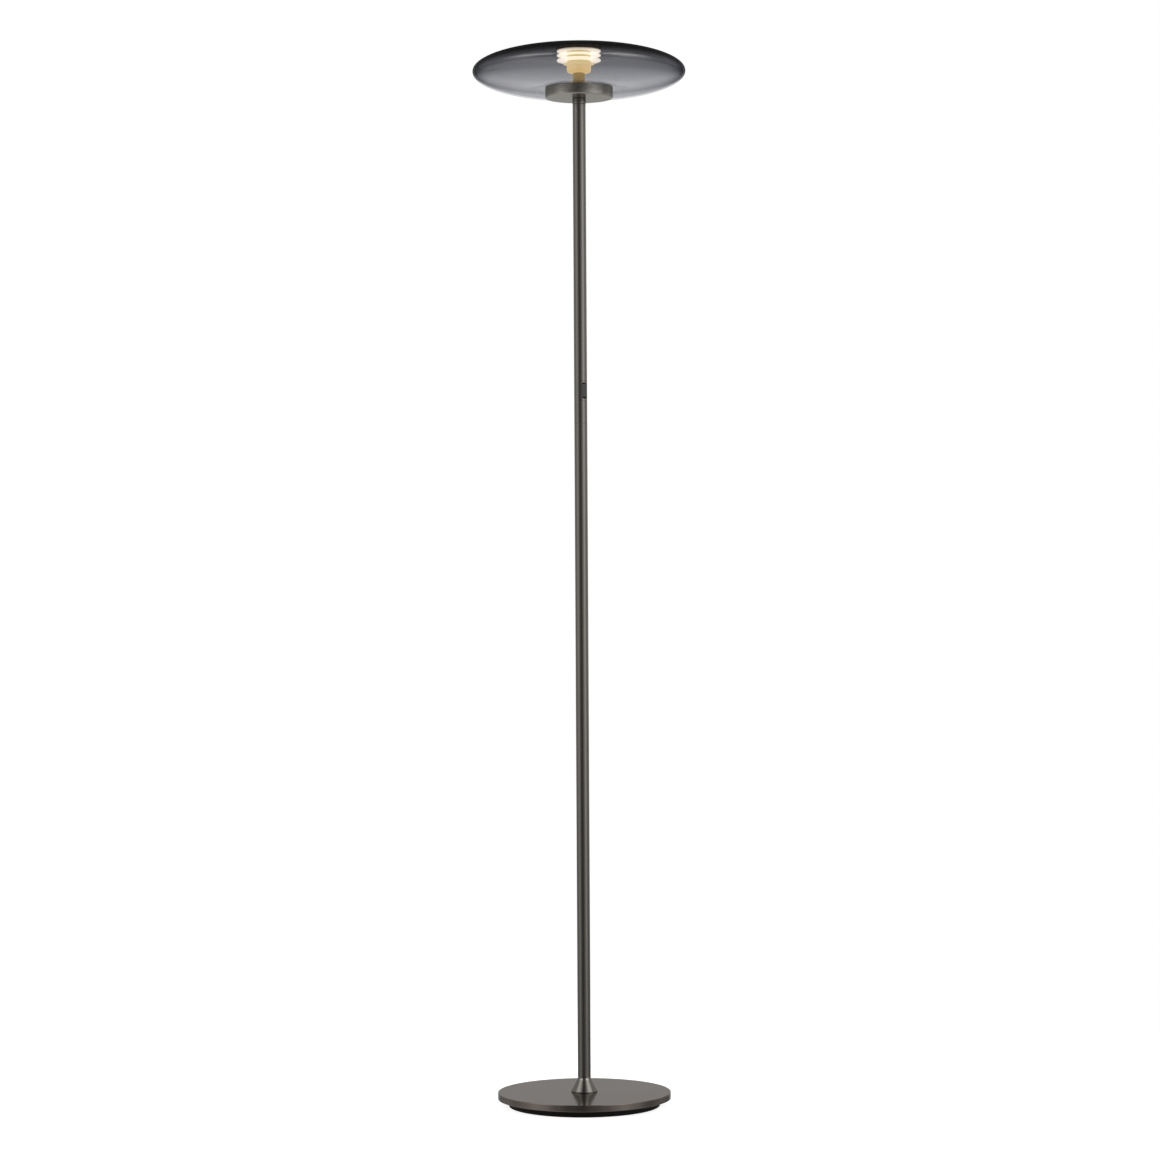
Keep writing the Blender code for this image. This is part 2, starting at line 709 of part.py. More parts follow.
def dimmer_bezel(axis):
    """A slice of the pole's round, with a window and with ends that slope down to it."""
    bezel = add_part(
        "dimmer_bezel",
        cylinder_mesh("dimmer_bezel", POLE_RADIUS, -BEZEL_HALF_LENGTH, BEZEL_HALF_LENGTH, WIDE_ROUND),
        "dark_nickel",
        axis,
    )
    block = box_mesh(
        "bezel_block",
        (BEZEL_BACK, -BEZEL_HALF_WIDTH, -2 * BEZEL_HALF_LENGTH),
        (OUTSIDE, BEZEL_HALF_WIDTH, 2 * BEZEL_HALF_LENGTH),
    )
    boolean(bezel, add_cutter("bezel_block", block, axis), "INTERSECT")
    window = box_mesh(
        "bezel_window",
        (0.0, -WINDOW_HALF_WIDTH, -WINDOW_HALF_LENGTH),
        (OUTSIDE, WINDOW_HALF_WIDTH, WINDOW_HALF_LENGTH),
    )
    cut(bezel, "bezel_window", window, axis)

    # The sloped ends: a block that widens outwards, as tall at the window as the window is.
    scoop = bmesh.new()
    bmesh.ops.create_cube(scoop, size=2.0)
    inner = POLE_RADIUS - SCOOP_DEPTH
    outer = POLE_RADIUS + SCOOP_DEPTH
    for vert in scoop.verts:
        near = vert.co.x < 0
        tall = WINDOW_HALF_LENGTH - OVERLAP if near else WINDOW_HALF_LENGTH + 2 * SCOOP_LENGTH
        vert.co.x = inner if near else outer
        vert.co.y *= WINDOW_HALF_WIDTH - OVERLAP
        vert.co.z *= tall
    cut(bezel, "bezel_scoop", mesh_from("bezel_scoop", scoop), axis)


def dimmer_button(axis):
    """The key: flush with the pole, and held in by a flange behind the bezel."""
    button = add_part(
        "dimmer_button",
        cylinder_mesh("dimmer_button", BUTTON_FACE, -BUTTON_HALF_LENGTH, BUTTON_HALF_LENGTH, WIDE_ROUND),
        "grey_plastic",
        axis,
    )
    block = box_mesh(
        "button_block",
        (BUTTON_BACK, -BUTTON_HALF_WIDTH, -2 * BUTTON_HALF_LENGTH),
        (OUTSIDE, BUTTON_HALF_WIDTH, 2 * BUTTON_HALF_LENGTH),
    )
    boolean(button, add_cutter("button_block", block, axis), "INTERSECT")
    flange = box_mesh(
        "button_flange",
        (BUTTON_BACK - OVERLAP, -FLANGE_HALF_WIDTH, -FLANGE_HALF_LENGTH),
        (FLANGE_FRONT, FLANGE_HALF_WIDTH, FLANGE_HALF_LENGTH),
    )
    join(button, "button_flange", flange, axis)


def dimmer_switch(axis):
    """The switch, its plunger, and the spring that brings the key back."""
    name = "switch_plunger"
    stem = cylinder_mesh(name, PLUNGER_RADIUS, PLUNGER_LOW, KEY_BACK, SCREW_ROUND, along="X")
    add_part(name, stem, "white_plastic", axis)

    name = "switch_body"
    housing = add_part(
        name,
        box_mesh(
            name,
            (BOARD_FRONT + GAP, -SWITCH_HALF, -SWITCH_HALF),
            (SWITCH_FRONT, SWITCH_HALF, SWITCH_HALF),
        ),
        "black_plastic",
        axis,
    )
    bore_low = PLUNGER_LOW - BUTTON_TRAVEL - GAP
    radius = PLUNGER_RADIUS + GAP
    bore_high = SWITCH_FRONT + PAST
    bore = cylinder_mesh("switch_bore", radius, bore_low, bore_high, SCREW_ROUND, along="X")
    cut(housing, "switch_bore", bore, axis)

    low = SWITCH_FRONT + GAP + SPRING_WIRE
    high = KEY_BACK - SPRING_WIRE
    steps = int(10 * SPRING_TURNS)
    route = []
    for step in range(steps + 1):
        angle = math.tau * SPRING_TURNS * step / steps
        along = low + (high - low) * step / steps
        route.append((along, SPRING_RADIUS * math.cos(angle), SPRING_RADIUS * math.sin(angle)))
    lead("return_spring", route, SPRING_WIRE, "steel", axis)


def dimmer_board(axis):
    board = box_mesh(
        "dimmer_board",
        (BOARD_FRONT - BOARD_THICK, -BOARD_HALF_WIDTH, -BOARD_HALF_LENGTH),
        (BOARD_FRONT, BOARD_HALF_WIDTH, BOARD_HALF_LENGTH),
    )
    add_part("dimmer_board", board, "circuit_board", axis)
    places = {
        "lower_board_holder": -HOLDER_LOW - HOLDER_THICK,
        "upper_board_holder": HOLDER_LOW,
    }
    for name, low in places.items():
        high = low + HOLDER_THICK
        disc = cylinder_mesh(name, INSERT_RADIUS, low, high, NARROW_ROUND)
        holder = add_part(name, disc, "black_plastic", axis)
        slit = box_mesh(
            name + "_slit",
            (BOARD_FRONT - BOARD_THICK - GAP, -BOARD_HALF_WIDTH - GAP, low - PAST),
            (BOARD_FRONT + GAP, BOARD_HALF_WIDTH + GAP, high + PAST),
        )
        cut(holder, name + "_slit", slit, axis)
        bore = MAINS_LEAD_RADIUS + GAP
        at = (LEAD_OFFSET, 0.0)
        hole = cylinder_mesh(name + "_hole", bore, low - PAST, high + PAST, SMALL_ROUND, at)
        cut(holder, name + "_hole", hole, axis)


# --- Head -------------------------------------------------------------------------------
DRUM_FLOOR = DRUM_LOW + SHEET
HEAD_NUT_LOW = DRUM_FLOOR + GAP
LID_TOP = DRUM_TOP - GAP
LID_LOW = LID_TOP - SHEET
STEM_NUT_LOW = LID_LOW - GAP - NUT_HEIGHT
STEM_LOW = DRUM_TOP + GAP
CUP_LOW = STEM_TOP + GAP
SEAT_LOW = LID_TOP + SHEET_GASKET + 2 * GAP


def drum():
    turned(
        "head_collar",
        ring_profile(HEAD_COLLAR_RADIUS, BORE, POLE_TOP + GAP, DRUM_LOW - GAP),
        "dark_nickel",
        NARROW_ROUND,
    )
    corner = arc(DRUM_RADIUS - DRUM_CORNER, DRUM_LOW + DRUM_CORNER, DRUM_CORNER, 0, -90, 3)
    inner = DRUM_RADIUS - SHEET
    shell = [
        (inner, DRUM_TOP),
        (DRUM_RADIUS - EDGE, DRUM_TOP),
        (DRUM_RADIUS, DRUM_TOP - EDGE),
        *corner,
        (BORE, DRUM_LOW),
        (BORE, DRUM_FLOOR),
        (inner - DRUM_CORNER / 2, DRUM_FLOOR),
        (inner, DRUM_FLOOR + DRUM_CORNER / 2),
    ]
    turned("drum_housing", shell, "dark_nickel")
    turned("drum_lid", ring_profile(inner - GAP, BORE, LID_LOW, LID_TOP), "dark_nickel")

    nipple_low = POLE_TOP - BUSH_LENGTH + NIPPLE_SHORT
    nipple_high = HEAD_NUT_LOW + NUT_HEIGHT + THREAD_SPARE
    nut("head_nut", HEAD_NUT_LOW)
    threaded_rod("head_nipple", nipple_low, nipple_high)


def centred_box(name, size, centre_y, low):
    """A white plastic case across the drum, with soft edges."""
    piece = add_part(
        name,
        box_mesh(
            name,
            (-size[0] / 2, centre_y - size[1] / 2, low),
            (size[0] / 2, centre_y + size[1] / 2, low + size[2]),
        ),
        "white_plastic",
    )
    soften(piece, CASE_EDGE)


def drum_electrics():
    low = DRUM_FLOOR + GAP
    centred_box("led_driver", DRIVER_SIZE, DRIVER_CENTRE_Y, low)
    centred_box("terminal_block", TERMINAL_SIZE, TERMINAL_CENTRE_Y, low)


def lamp_lead():
    """From the dimmer up the pole, and out of the nipple to the terminal block."""
    start = facing(LEAD_OFFSET, 0.0, LEAD_STOP)
    offset_end = (start[0], start[1], DIMMER_HEIGHT + LEAD_BEND_NEAR)
    straight_start = (0.0, 0.0, DIMMER_HEIGHT + LEAD_BEND_FAR)
    route = [start, *blend_route(offset_end, straight_start, 5)]
    route += [(0.0, 0.0, z) for z in (1.40, 1.55, 1.70)]
    bend = LAMP_LEAD_BEND
    turn_low = HEAD_NUT_LOW + NUT_HEIGHT / 2
    for step in range(9):
        angle = math.radians(90.0 * step / 8)
        route.append((0.0, -bend * (1 - math.cos(angle)), turn_low + bend * math.sin(angle)))
    end_y = TERMINAL_CENTRE_Y + TERMINAL_SIZE[1] / 2 + GAP
    route.append((0.0, end_y, turn_low + bend))
    lead("lamp_lead", route, LAMP_LEAD_RADIUS, "black_plastic")


def stem():
    turned(
        "stem_tube",
        ring_profile(STEM_RADIUS, STEM_BORE, STEM_LOW, STEM_TOP),
        "dark_nickel",
        NARROW_ROUND,
    )
    nut("stem_nut", STEM_NUT_LOW)
    threaded_rod("stem_rod", STEM_NUT_LOW - THREAD_SPARE, CARRIER_TOP - THREAD_SPARE)


def engine_cup():
    """A spun cup that opens upwards, with a rounded foot and a flared lip."""
    foot = arc(CUP_RADIUS - CUP_CORNER, CUP_LOW + CUP_CORNER, CUP_CORNER, 0, -90, 3)
    inner = CUP_RADIUS - CUP_WALL
    profile = [
        (CUP_FLARE_RADIUS - CUP_WALL, CUP_TOP),
        (CUP_FLARE_RADIUS, CUP_TOP),
        (CUP_FLARE_RADIUS, CUP_TOP - CUP_LIP),
        (CUP_RADIUS + CUP_LIP, CUP_NECK_TOP + CUP_LIP),
        (CUP_RADIUS, CUP_NECK_TOP),
        *foot,
        (BORE, CUP_LOW),
        (BORE, CUP_LOW + CUP_FLOOR),
        (inner - CUP_INNER_CORNER, CUP_LOW + CUP_FLOOR),
        (inner, CUP_LOW + CUP_FLOOR + CUP_INNER_CORNER),
        (inner, CUP_NECK_TOP + CUP_LIP),
    ]
    turned("engine_cup", profile, "brass", NARROW_ROUND)


def diffusers():
    """Three opal pieces that stack: each one a short tube with a disc round it."""
    inner = CUP_RADIUS - DIFFUSER_WALL
    for name, (low, high, disc_low, disc_high) in DIFFUSERS.items():
        half = (disc_high - disc_low) / 2
        rim = arc(DIFFUSER_RADIUS - half, disc_low + half, half, 90, -90, 4)
        profile = [
            (inner, high),
            (CUP_RADIUS, high),
            (CUP_RADIUS, disc_high),
            *rim,
            (CUP_RADIUS, disc_low),
            (CUP_RADIUS, low),
            (inner, low),
        ]
        turned(name, profile, "opal", NARROW_ROUND)


def led_boards():
    """One in the cup, which lights the diffusers, and one under the lens, which lights upwards."""
    boards = {
        "lower_led_board": (LOWER_LED_RADIUS, BORE, CUP_LOW + CUP_FLOOR + GAP),
        "upper_led_board": (UPPER_LED_RADIUS, UPPER_LED_BORE, CARRIER_TOP + GAP),
    }
    for name, (outer, inner, low) in boards.items():
        profile = ring_profile(outer, inner, low, low + BOARD_THICK)
        turned(name, profile, "white_plastic", NARROW_ROUND)


def led_lead():
    """From the driver, into the stem's rod, and up to the board under the lens."""
    height = STEM_NUT_LOW - LED_LEAD_DROP
    driver_face = DRIVER_CENTRE_Y - DRIVER_SIZE[1] / 2 - GAP
    route = [(0.0, driver_face, height), (0.0, driver_face / 2, height)]
    route += turn_up(LED_LEAD_BEND, height)
    route += [(0.0, 0.0, z) for z in (STEM_TOP, CUP_TOP, CARRIER_TOP)]
    lead("led_lead", route, LED_LEAD_RADIUS, "white_plastic")


def lens_outline(radius, half_height, first, last, steps):
    """Points round a lens from one angle to another, in degrees above its rim, with as many
    steps above the rim as below it."""
    angles = [first * (1 - step / steps) for step in range(steps)]
    angles += [last * step / steps for step in range(steps + 1)]
    points = []
    power = 2 / SHADE_FULLNESS
    for angle in angles:
        turn = math.radians(angle)
        across = radius * math.cos(turn) ** power
        up = math.copysign(half_height * abs(math.sin(turn)) ** power, turn)
        points.append((across, SHADE_MIDDLE + up))
    return points


def opening_angle(radius, opening):
    """The angle at which a lens of this radius has narrowed to an opening."""
    return math.degrees(math.acos((opening / radius) ** (SHADE_FULLNESS / 2)))


def lens_slope(radius, half_height, at):
    """Rise over run of the lens's lower half, at a distance from its axis."""
    share = (at / radius) ** SHADE_FULLNESS
    steepness = (1 - share) ** (1 / SHADE_FULLNESS - 1) * (at / radius) ** (SHADE_FULLNESS - 1)
    return steepness * half_height / radius


def dish_points(start, start_slope, end, end_slope):
    """Points between two ends of the underside's dish, along a curve with these end slopes."""
    run = end[0] - start[0]
    points = []
    for step in range(1, DISH_STEPS):
        t = step / DISH_STEPS
        height = start[1] * (2 * t**3 - 3 * t**2 + 1)
        height += end[1] * (3 * t**2 - 2 * t**3)
        height += run * start_slope * (t**3 - 2 * t**2 + t)
        height += run * end_slope * (t**3 - t**2)
        points.append((start[0] + run * t, height))
    return points


def glass_wall(radius, half_height, steps, seat):
    """One side of the glass wall, from its top opening down to the seat at its low opening."""
    top_angle = opening_angle(radius, SHADE_TOP_OPENING)
    dish_angle = -opening_angle(radius, DISH_RADIUS)
    wall = lens_outline(radius, half_height, top_angle, dish_angle, steps)
    slope = lens_slope(radius, half_height, DISH_RADIUS)
    return wall + dish_points(wall[-1], slope, seat, DISH_SLOPE) + [seat]


def glass_shade():
    outside = glass_wall(SHADE_RADIUS, SHADE_HALF_HEIGHT, OUTER_STEPS, (SEAT_RADIUS, SEAT_LOW))
    inside = glass_wall(
        SHADE_RADIUS - SHADE_THICK,
        SHADE_HALF_HEIGHT - SHADE_THICK,
        INNER_STEPS,
        (SHADE_LOW_OPENING, SEAT_LOW + SHADE_THICK),
    )
    lip = [(SHADE_LOW_OPENING, SEAT_LOW)]
    turned("glass_shade", outside + lip + inside[::-1], "smoked_glass", WIDE_ROUND)


def shade_top():
    """What holds the glass: a gasket under its low opening, a plate and gasket under its top
    opening, and a trim ring over it."""
    seat = LID_TOP + GAP
    turned(
        "seat_gasket",
        ring_profile(SEAT_GASKET_RADIUS, SHADE_LOW_OPENING, seat, seat + SHEET_GASKET),
        "silicone",
    )
    plate = ring_profile(CARRIER_RADIUS, BORE, CARRIER_LOW, CARRIER_TOP)
    turned("shade_carrier", plate, "dark_bronze", NARROW_ROUND)
    gasket_low = CARRIER_TOP + GAP
    turned(
        "shade_gasket",
        ring_profile(TOP_GASKET_RADIUS, SHADE_TOP_OPENING + GAP, gasket_low, gasket_low + SHEET_GASKET),
        "silicone",
        NARROW_ROUND,
    )
    spigot = SHADE_TOP_OPENING - GAP
    trim = [
        (TRIM_INNER, TRIM_TOP),
        (TRIM_RADIUS - EDGE, TRIM_TOP),
        (TRIM_RADIUS, TRIM_TOP - EDGE),
        (TRIM_RADIUS, TRIM_LOW),
        (spigot, TRIM_LOW),
        (spigot, gasket_low),
        (TRIM_INNER, gasket_low),
    ]
    turned("top_trim_ring", trim, "dark_bronze", NARROW_ROUND)
    lens = disc_profile(LENS_RADIUS, TRIM_LOW - LENS_SINK, TRIM_TOP - LENS_SINK / 2)
    turned("top_lens", lens, "opal", NARROW_ROUND)


def head():
    drum()
    drum_electrics()
    lamp_lead()
    stem()
    engine_cup()
    led_boards()
    led_lead()
    diffusers()
    shade_top()
    glass_shade()


clear_scene()
PARTS = new_collection("torchiere_floor_lamp")
CUTTERS = new_collection("cutters")
anti_slip_ring()
bottom_plate()
foot_disc()
base_weight()
base_cover()
foot_fixings()
cable_gland()
lead_clamp()
base_collar()
mains_lead()
dimmer(pole())
head()
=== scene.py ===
"""Looks of the torchiere floor lamp: fine turned surfaces, materials, soft studio light."""

import json
import math

import bmesh
import bpy
from mathutils import Matrix, Vector


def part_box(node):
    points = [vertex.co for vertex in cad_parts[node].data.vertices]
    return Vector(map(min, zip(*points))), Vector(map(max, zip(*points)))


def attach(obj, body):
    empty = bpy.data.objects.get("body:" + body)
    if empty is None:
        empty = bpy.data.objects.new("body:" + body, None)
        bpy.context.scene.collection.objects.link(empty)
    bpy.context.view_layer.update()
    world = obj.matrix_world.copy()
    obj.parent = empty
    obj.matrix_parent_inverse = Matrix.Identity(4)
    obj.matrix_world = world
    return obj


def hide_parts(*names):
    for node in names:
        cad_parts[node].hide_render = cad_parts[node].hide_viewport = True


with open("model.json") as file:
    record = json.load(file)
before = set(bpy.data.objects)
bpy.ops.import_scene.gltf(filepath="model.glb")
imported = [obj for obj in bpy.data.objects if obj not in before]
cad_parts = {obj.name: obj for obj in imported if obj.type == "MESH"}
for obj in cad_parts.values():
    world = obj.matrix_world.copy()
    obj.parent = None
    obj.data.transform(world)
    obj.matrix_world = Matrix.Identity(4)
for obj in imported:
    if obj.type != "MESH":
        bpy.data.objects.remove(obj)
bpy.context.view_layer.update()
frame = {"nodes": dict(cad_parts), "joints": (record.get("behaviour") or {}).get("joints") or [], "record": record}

STAND = "stand"
KEY = "dimmer_key"

# --- Camera -----------------------------------------------------------------------------
CAMERA_DISTANCE = 5.43            # metres in front of the lamp
CAMERA_HEIGHT = 0.893
CAMERA_ACROSS = -0.0028
CAMERA_ROLL = math.radians(0.31)
CAMERA_LENS = 99.06
CAMERA_SENSOR = 36.0
CAMERA_REACH = 60.0

camera_data = bpy.data.cameras.new("camera")
camera_data.lens = CAMERA_LENS
camera_data.sensor_width = CAMERA_SENSOR
camera_data.clip_end = CAMERA_REACH
camera = bpy.data.objects.new("camera", camera_data)
camera.matrix_world = (
    Matrix.Translation((CAMERA_ACROSS, -CAMERA_DISTANCE, CAMERA_HEIGHT))
    @ Matrix.Rotation(math.radians(90), 4, "X")
    @ Matrix.Rotation(-CAMERA_ROLL, 4, "Z")
)
bpy.context.scene.collection.objects.link(camera)
bpy.context.scene.camera = camera
bpy.context.scene.view_settings.view_transform = "Standard"


# --- Node helpers -----------------------------------------------------------------------
class Nodes:
    """Short names for building a node tree."""

    def __init__(self, tree):
        self.tree = tree
        tree.nodes.clear()

    def add(self, kind, **settings):
        node = self.tree.nodes.new(kind)
        for name, value in settings.items():
            setattr(node, name, value)
        return node

    def link(self, source, target):
        self.tree.links.new(source, target)

    def feed(self, target, value):
        """Sets a socket to a number, or links another socket to it."""
        if isinstance(value, bpy.types.NodeSocket):
            self.link(value, target)
        else:
            target.default_value = value

    def math(self, operation, *values):
        node = self.add("ShaderNodeMath", operation=operation)
        for socket, value in zip(node.inputs, values):
            self.feed(socket, value)
        return node.outputs[0]

    def fade(self, value, from_low, from_high, to_low=0.0, to_high=1.0):
        """A smooth step of value, between two limits."""
        node = self.add("ShaderNodeMapRange", interpolation_type="SMOOTHSTEP")
        for index, number in enumerate((value, from_low, from_high, to_low, to_high)):
            self.feed(node.inputs[index], number)
        return node.outputs[0]

    def ramp(self, value, stops, low, high):
        """A curve through stops of (value, level), between two values."""
        node = self.add("ShaderNodeValToRGB")
        node.color_ramp.interpolation = "EASE"
        elements = node.color_ramp.elements
        while len(elements) < len(stops):
            elements.new(0.5)
        for element, (at, level) in zip(elements, stops):
            element.position = (at - low) / (high - low)
            element.color = grey(level)
        share = self.math("DIVIDE", self.math("SUBTRACT", value, low), high - low)
        self.link(share, node.inputs[0])
        return self.math("MULTIPLY", node.outputs[0], 1.0)

    def mix_colour(self, factor, first, second, blend="MIX"):
        node = self.add("ShaderNodeMix", data_type="RGBA", blend_type=blend)
        self.feed(node.inputs[0], factor)
        self.feed(node.inputs[6], first)
        self.feed(node.inputs[7], second)
        return node.outputs[2]

    def mix_shader(self, factor, first, second):
        node = self.add("ShaderNodeMixShader")
        self.feed(node.inputs[0], factor)
        self.link(first, node.inputs[1])
        self.link(second, node.inputs[2])
        return node.outputs[0]

    def noise(self, vector, scale, detail=3.0, roughness=0.5):
        node = self.add("ShaderNodeTexNoise")
        self.link(vector, node.inputs["Vector"])
        node.inputs["Scale"].default_value = scale
        node.inputs["Detail"].default_value = detail
        node.inputs["Roughness"].default_value = roughness
        return node.outputs["Fac"]


def grey(level):
    return (level, level, level, 1.0)


def shaded(colour, by):
    """A colour with its levels multiplied, as RGBA."""
    return (*[level * by for level in colour], 1.0)


# --- World ------------------------------------------------------------------------------
# Angles are in degrees: azimuth from the front to the right, elevation from the horizon up.
# A pair of angles is where a fade starts and ends.
HORIZON = (                       # brightness round the horizon: (azimuth, level)
    (-180, 0.15), (-150, 0.30), (-122, 0.52), (-104, 0.44), (-84, 0.62), (-68, 0.88),
    (-54, 0.72), (-38, 0.34), (-20, 0.14), (-2, 0.09), (13, 0.30), (30, 0.56), (42, 0.96),
    (54, 1.32), (72, 0.92), (96, 0.42), (122, 0.62), (150, 0.34), (180, 0.15),
)
LEFT_LOW = 0.40                   # share of it that is left below the horizon, on the left
RIGHT_LOW = 0.15                  # and on the right
LEFT_TO_RIGHT = (-12.0, 12.0)
LOW_FADE = (-14.0, 1.0)
OVERHEAD = 0.66                   # share of it that is left high up
OVERHEAD_FADE = (15.0, 55.0)
GROUND = 0.45                     # the pale ground far round the lamp, as the metal mirrors it
GROUND_FADE = (-30.0, -5.0)
TOP_BAND = 1.8                    # two long softboxes over the camera, left and right of it
BAND_INNER = (20.0, 34.0)
BAND_OUTER = (55.0, 100.0)
BAND_LOW = (14.0, 19.0)
BAND_HIGH = (26.0, 55.0)
SCREEN_ABOVE = 0.20               # a screen behind the lamp, above and below the horizon
SCREEN_BELOW = 0.28
SCREEN_TURN = (-4.0, 4.0)
SCREEN_SIDE = (152.0, 168.0)
SCREEN_EDGE = (14.0, 30.0)
STUDIO_TINT = (1.0, 0.985, 0.955, 1.0)
ONE_BOUNCE = 0.5                  # fewer bounces than this is light seen directly


def studio_world():
    world = bpy.data.worlds.new("studio")
    world.use_nodes = True
    bpy.context.scene.world = world
    n = Nodes(world.node_tree)
    direction = n.add("ShaderNodeTexCoord").outputs["Generated"]
    split = n.add("ShaderNodeSeparateXYZ")
    n.link(direction, split.inputs[0])
    x, y, z = split.outputs
    azimuth = n.math("DEGREES", n.math("ARCTAN2", x, n.math("MULTIPLY", y, -1.0)))
    elevation = n.math("DEGREES", n.math("ARCSINE", z))

    around = n.ramp(azimuth, HORIZON, -180, 180)
    side = n.fade(azimuth, *LEFT_TO_RIGHT, LEFT_LOW, RIGHT_LOW)
    around = n.math("MULTIPLY", around, n.fade(elevation, *OVERHEAD_FADE, 1.0, OVERHEAD))
    light = n.math("MULTIPLY", around, n.fade(elevation, *LOW_FADE, side, 1.0))
    light = n.math("ADD", light, n.fade(elevation, *GROUND_FADE, GROUND, 0.0))

    off_front = n.math("ABSOLUTE", azimuth)
    band = n.fade(off_front, *BAND_OUTER, TOP_BAND, 0.0)
    band = n.math("MULTIPLY", band, n.fade(elevation, *BAND_LOW))
    band = n.math("MULTIPLY", band, n.fade(elevation, *BAND_HIGH, 1.0, 0.0))
    band = n.math("MULTIPLY", band, n.fade(off_front, *BAND_INNER))
    light = n.math("ADD", light, band)

    screen = n.math("MULTIPLY", n.fade(off_front, *SCREEN_SIDE),
                    n.fade(elevation, *SCREEN_TURN, SCREEN_BELOW, SCREEN_ABOVE))
    off_level = n.math("ABSOLUTE", elevation)
    screen = n.math("MULTIPLY", screen, n.fade(off_level, *SCREEN_EDGE, 1.0, 0.0))
    light = n.math("ADD", light, screen)

    # Seen directly, and through the glass, the studio is plain white all round.
    path = n.add("ShaderNodeLightPath")
    bounced = n.math("ADD", path.outputs["Glossy Depth"], path.outputs["Diffuse Depth"])
    direct = n.math("LESS_THAN", bounced, ONE_BOUNCE)
    mirrored = n.math("MULTIPLY", n.math("SUBTRACT", 1.0, direct), light)
    level = n.math("ADD", direct, mirrored)
    warm = n.mix_colour(direct, STUDIO_TINT, grey(1.0))
    background = n.add("ShaderNodeBackground")
    n.link(warm, background.inputs["Color"])
    n.link(level, background.inputs["Strength"])
    output = n.add("ShaderNodeOutputWorld")
    n.link(background.outputs[0], output.inputs[0])


studio_world()


# --- Materials --------------------------------------------------------------------------
PATTERN = (0.3, 0.7)              # levels of a noise that its pattern runs between
LINES_ROUND = 3.0                 # how fast a brushed line changes on its way round
SMUDGE_SCALE = 14.0
SMUDGE = (0.45, 0.75, 0.0, 0.025) # levels of its noise, and what they add to the roughness
WORN_SCALE = 5.0
WORN = (0.35, 0.75)
MOTTLE_SCALE = 180.0
CLOUD_SCALE = 60.0
FINE_BUMP = 0.0001                # depth in metres
CAST_BUMP = 0.0003


def new_material(name):
    made = bpy.data.materials.new(name)
    made.use_nodes = True
    n = Nodes(made.node_tree)
    shader = n.add("ShaderNodeBsdfPrincipled")
    output = n.add("ShaderNodeOutputMaterial")
    n.link(shader.outputs[0], output.inputs[0])
    return made, n, shader


def place(n):
    """Object-space position, and its distance from the pole's axis, turn about it and height."""
    position = n.add("ShaderNodeTexCoord").outputs["Object"]
    split = n.add("ShaderNodeSeparateXYZ")
    n.link(position, split.inputs[0])
    x, y, z = split.outputs
    radius = n.math("SQRT", n.math("ADD", n.math("MULTIPLY", x, x), n.math("MULTIPLY", y, y)))
    turn = n.math("ARCTAN2", y, x)
    return position, radius, turn, z


def vector_of(n, x, y, z):
    node = n.add("ShaderNodeCombineXYZ")
    for socket, value in zip(node.inputs, (x, y, z)):
        n.feed(socket, value)
    return node.outputs[0]


def add_bump(n, shader, height, strength, distance):
    bump = n.add("ShaderNodeBump")
    bump.inputs["Strength"].default_value = strength
    bump.inputs["Distance"].default_value = distance
    n.link(height, bump.inputs["Height"])
    n.link(bump.outputs[0], shader.inputs["Normal"])


def brushed_metal(name, colour, roughness, grain=0.04, line_scale=2600.0):
    """Satin metal, brushed in fine lines that run round the axis, with faint rubbed marks."""
    made, n, shader = new_material(name)
    position, radius, turn, z = place(n)
    lines = vector_of(n, n.math("MULTIPLY", radius, line_scale),
                      n.math("MULTIPLY", turn, LINES_ROUND),
                      n.math("MULTIPLY", z, line_scale))
    fine = n.noise(lines, 1.0, 2.0)
    smudge = n.noise(position, SMUDGE_SCALE, 3.0)
    rough = n.math("ADD", n.fade(fine, *PATTERN, roughness * 0.90, roughness * 1.08),
                   n.fade(smudge, *SMUDGE))
    n.link(rough, shader.inputs["Roughness"])
    tint = n.mix_colour(n.fade(fine, 0.25, 0.75), shaded(colour, 0.95), shaded(colour, 1.05))
    rubbed = n.fade(n.noise(position, WORN_SCALE, 4.0), *WORN)
    worn = n.mix_colour(rubbed, grey(1.0), grey(0.95))
    n.link(n.mix_colour(1.0, tint, worn, "MULTIPLY"), shader.inputs["Base Color"])
    shader.inputs["Metallic"].default_value = 1.0
    add_bump(n, shader, fine, grain, FINE_BUMP)
    return made


def plain_metal(name, colour, roughness):
    """Plated or cast metal, with a mottle in its roughness."""
    made, n, shader = new_material(name)
    position, _, _, _ = place(n)
    mottle = n.noise(position, MOTTLE_SCALE, 4.0)
    rough = n.fade(mottle, *PATTERN, roughness * 0.85, roughness * 1.15)
    n.link(rough, shader.inputs["Roughness"])
    tint = n.mix_colour(mottle, shaded(colour, 0.85), shaded(colour, 1.1))
    n.link(tint, shader.inputs["Base Color"])
    shader.inputs["Metallic"].default_value = 1.0
    add_bump(n, shader, mottle, 0.1, CAST_BUMP)
    return made


def moulded(name, colour, roughness, grain_scale=900.0, grain=0.12, specular=0.5):
    """Moulded plastic or rubber, with a fine surface grain."""
    made, n, shader = new_material(name)
    position, _, _, _ = place(n)
    texture = n.noise(position, grain_scale, 2.0)
    rough = n.fade(texture, *PATTERN, roughness * 0.9, roughness * 1.1)
    n.link(rough, shader.inputs["Roughness"])
    tint = n.mix_colour(texture, shaded(colour, 0.85), shaded(colour, 1.15))
    n.link(tint, shader.inputs["Base Color"])
    shader.inputs["Specular IOR Level"].default_value = specular
    add_bump(n, shader, texture, grain, FINE_BUMP)
    return made


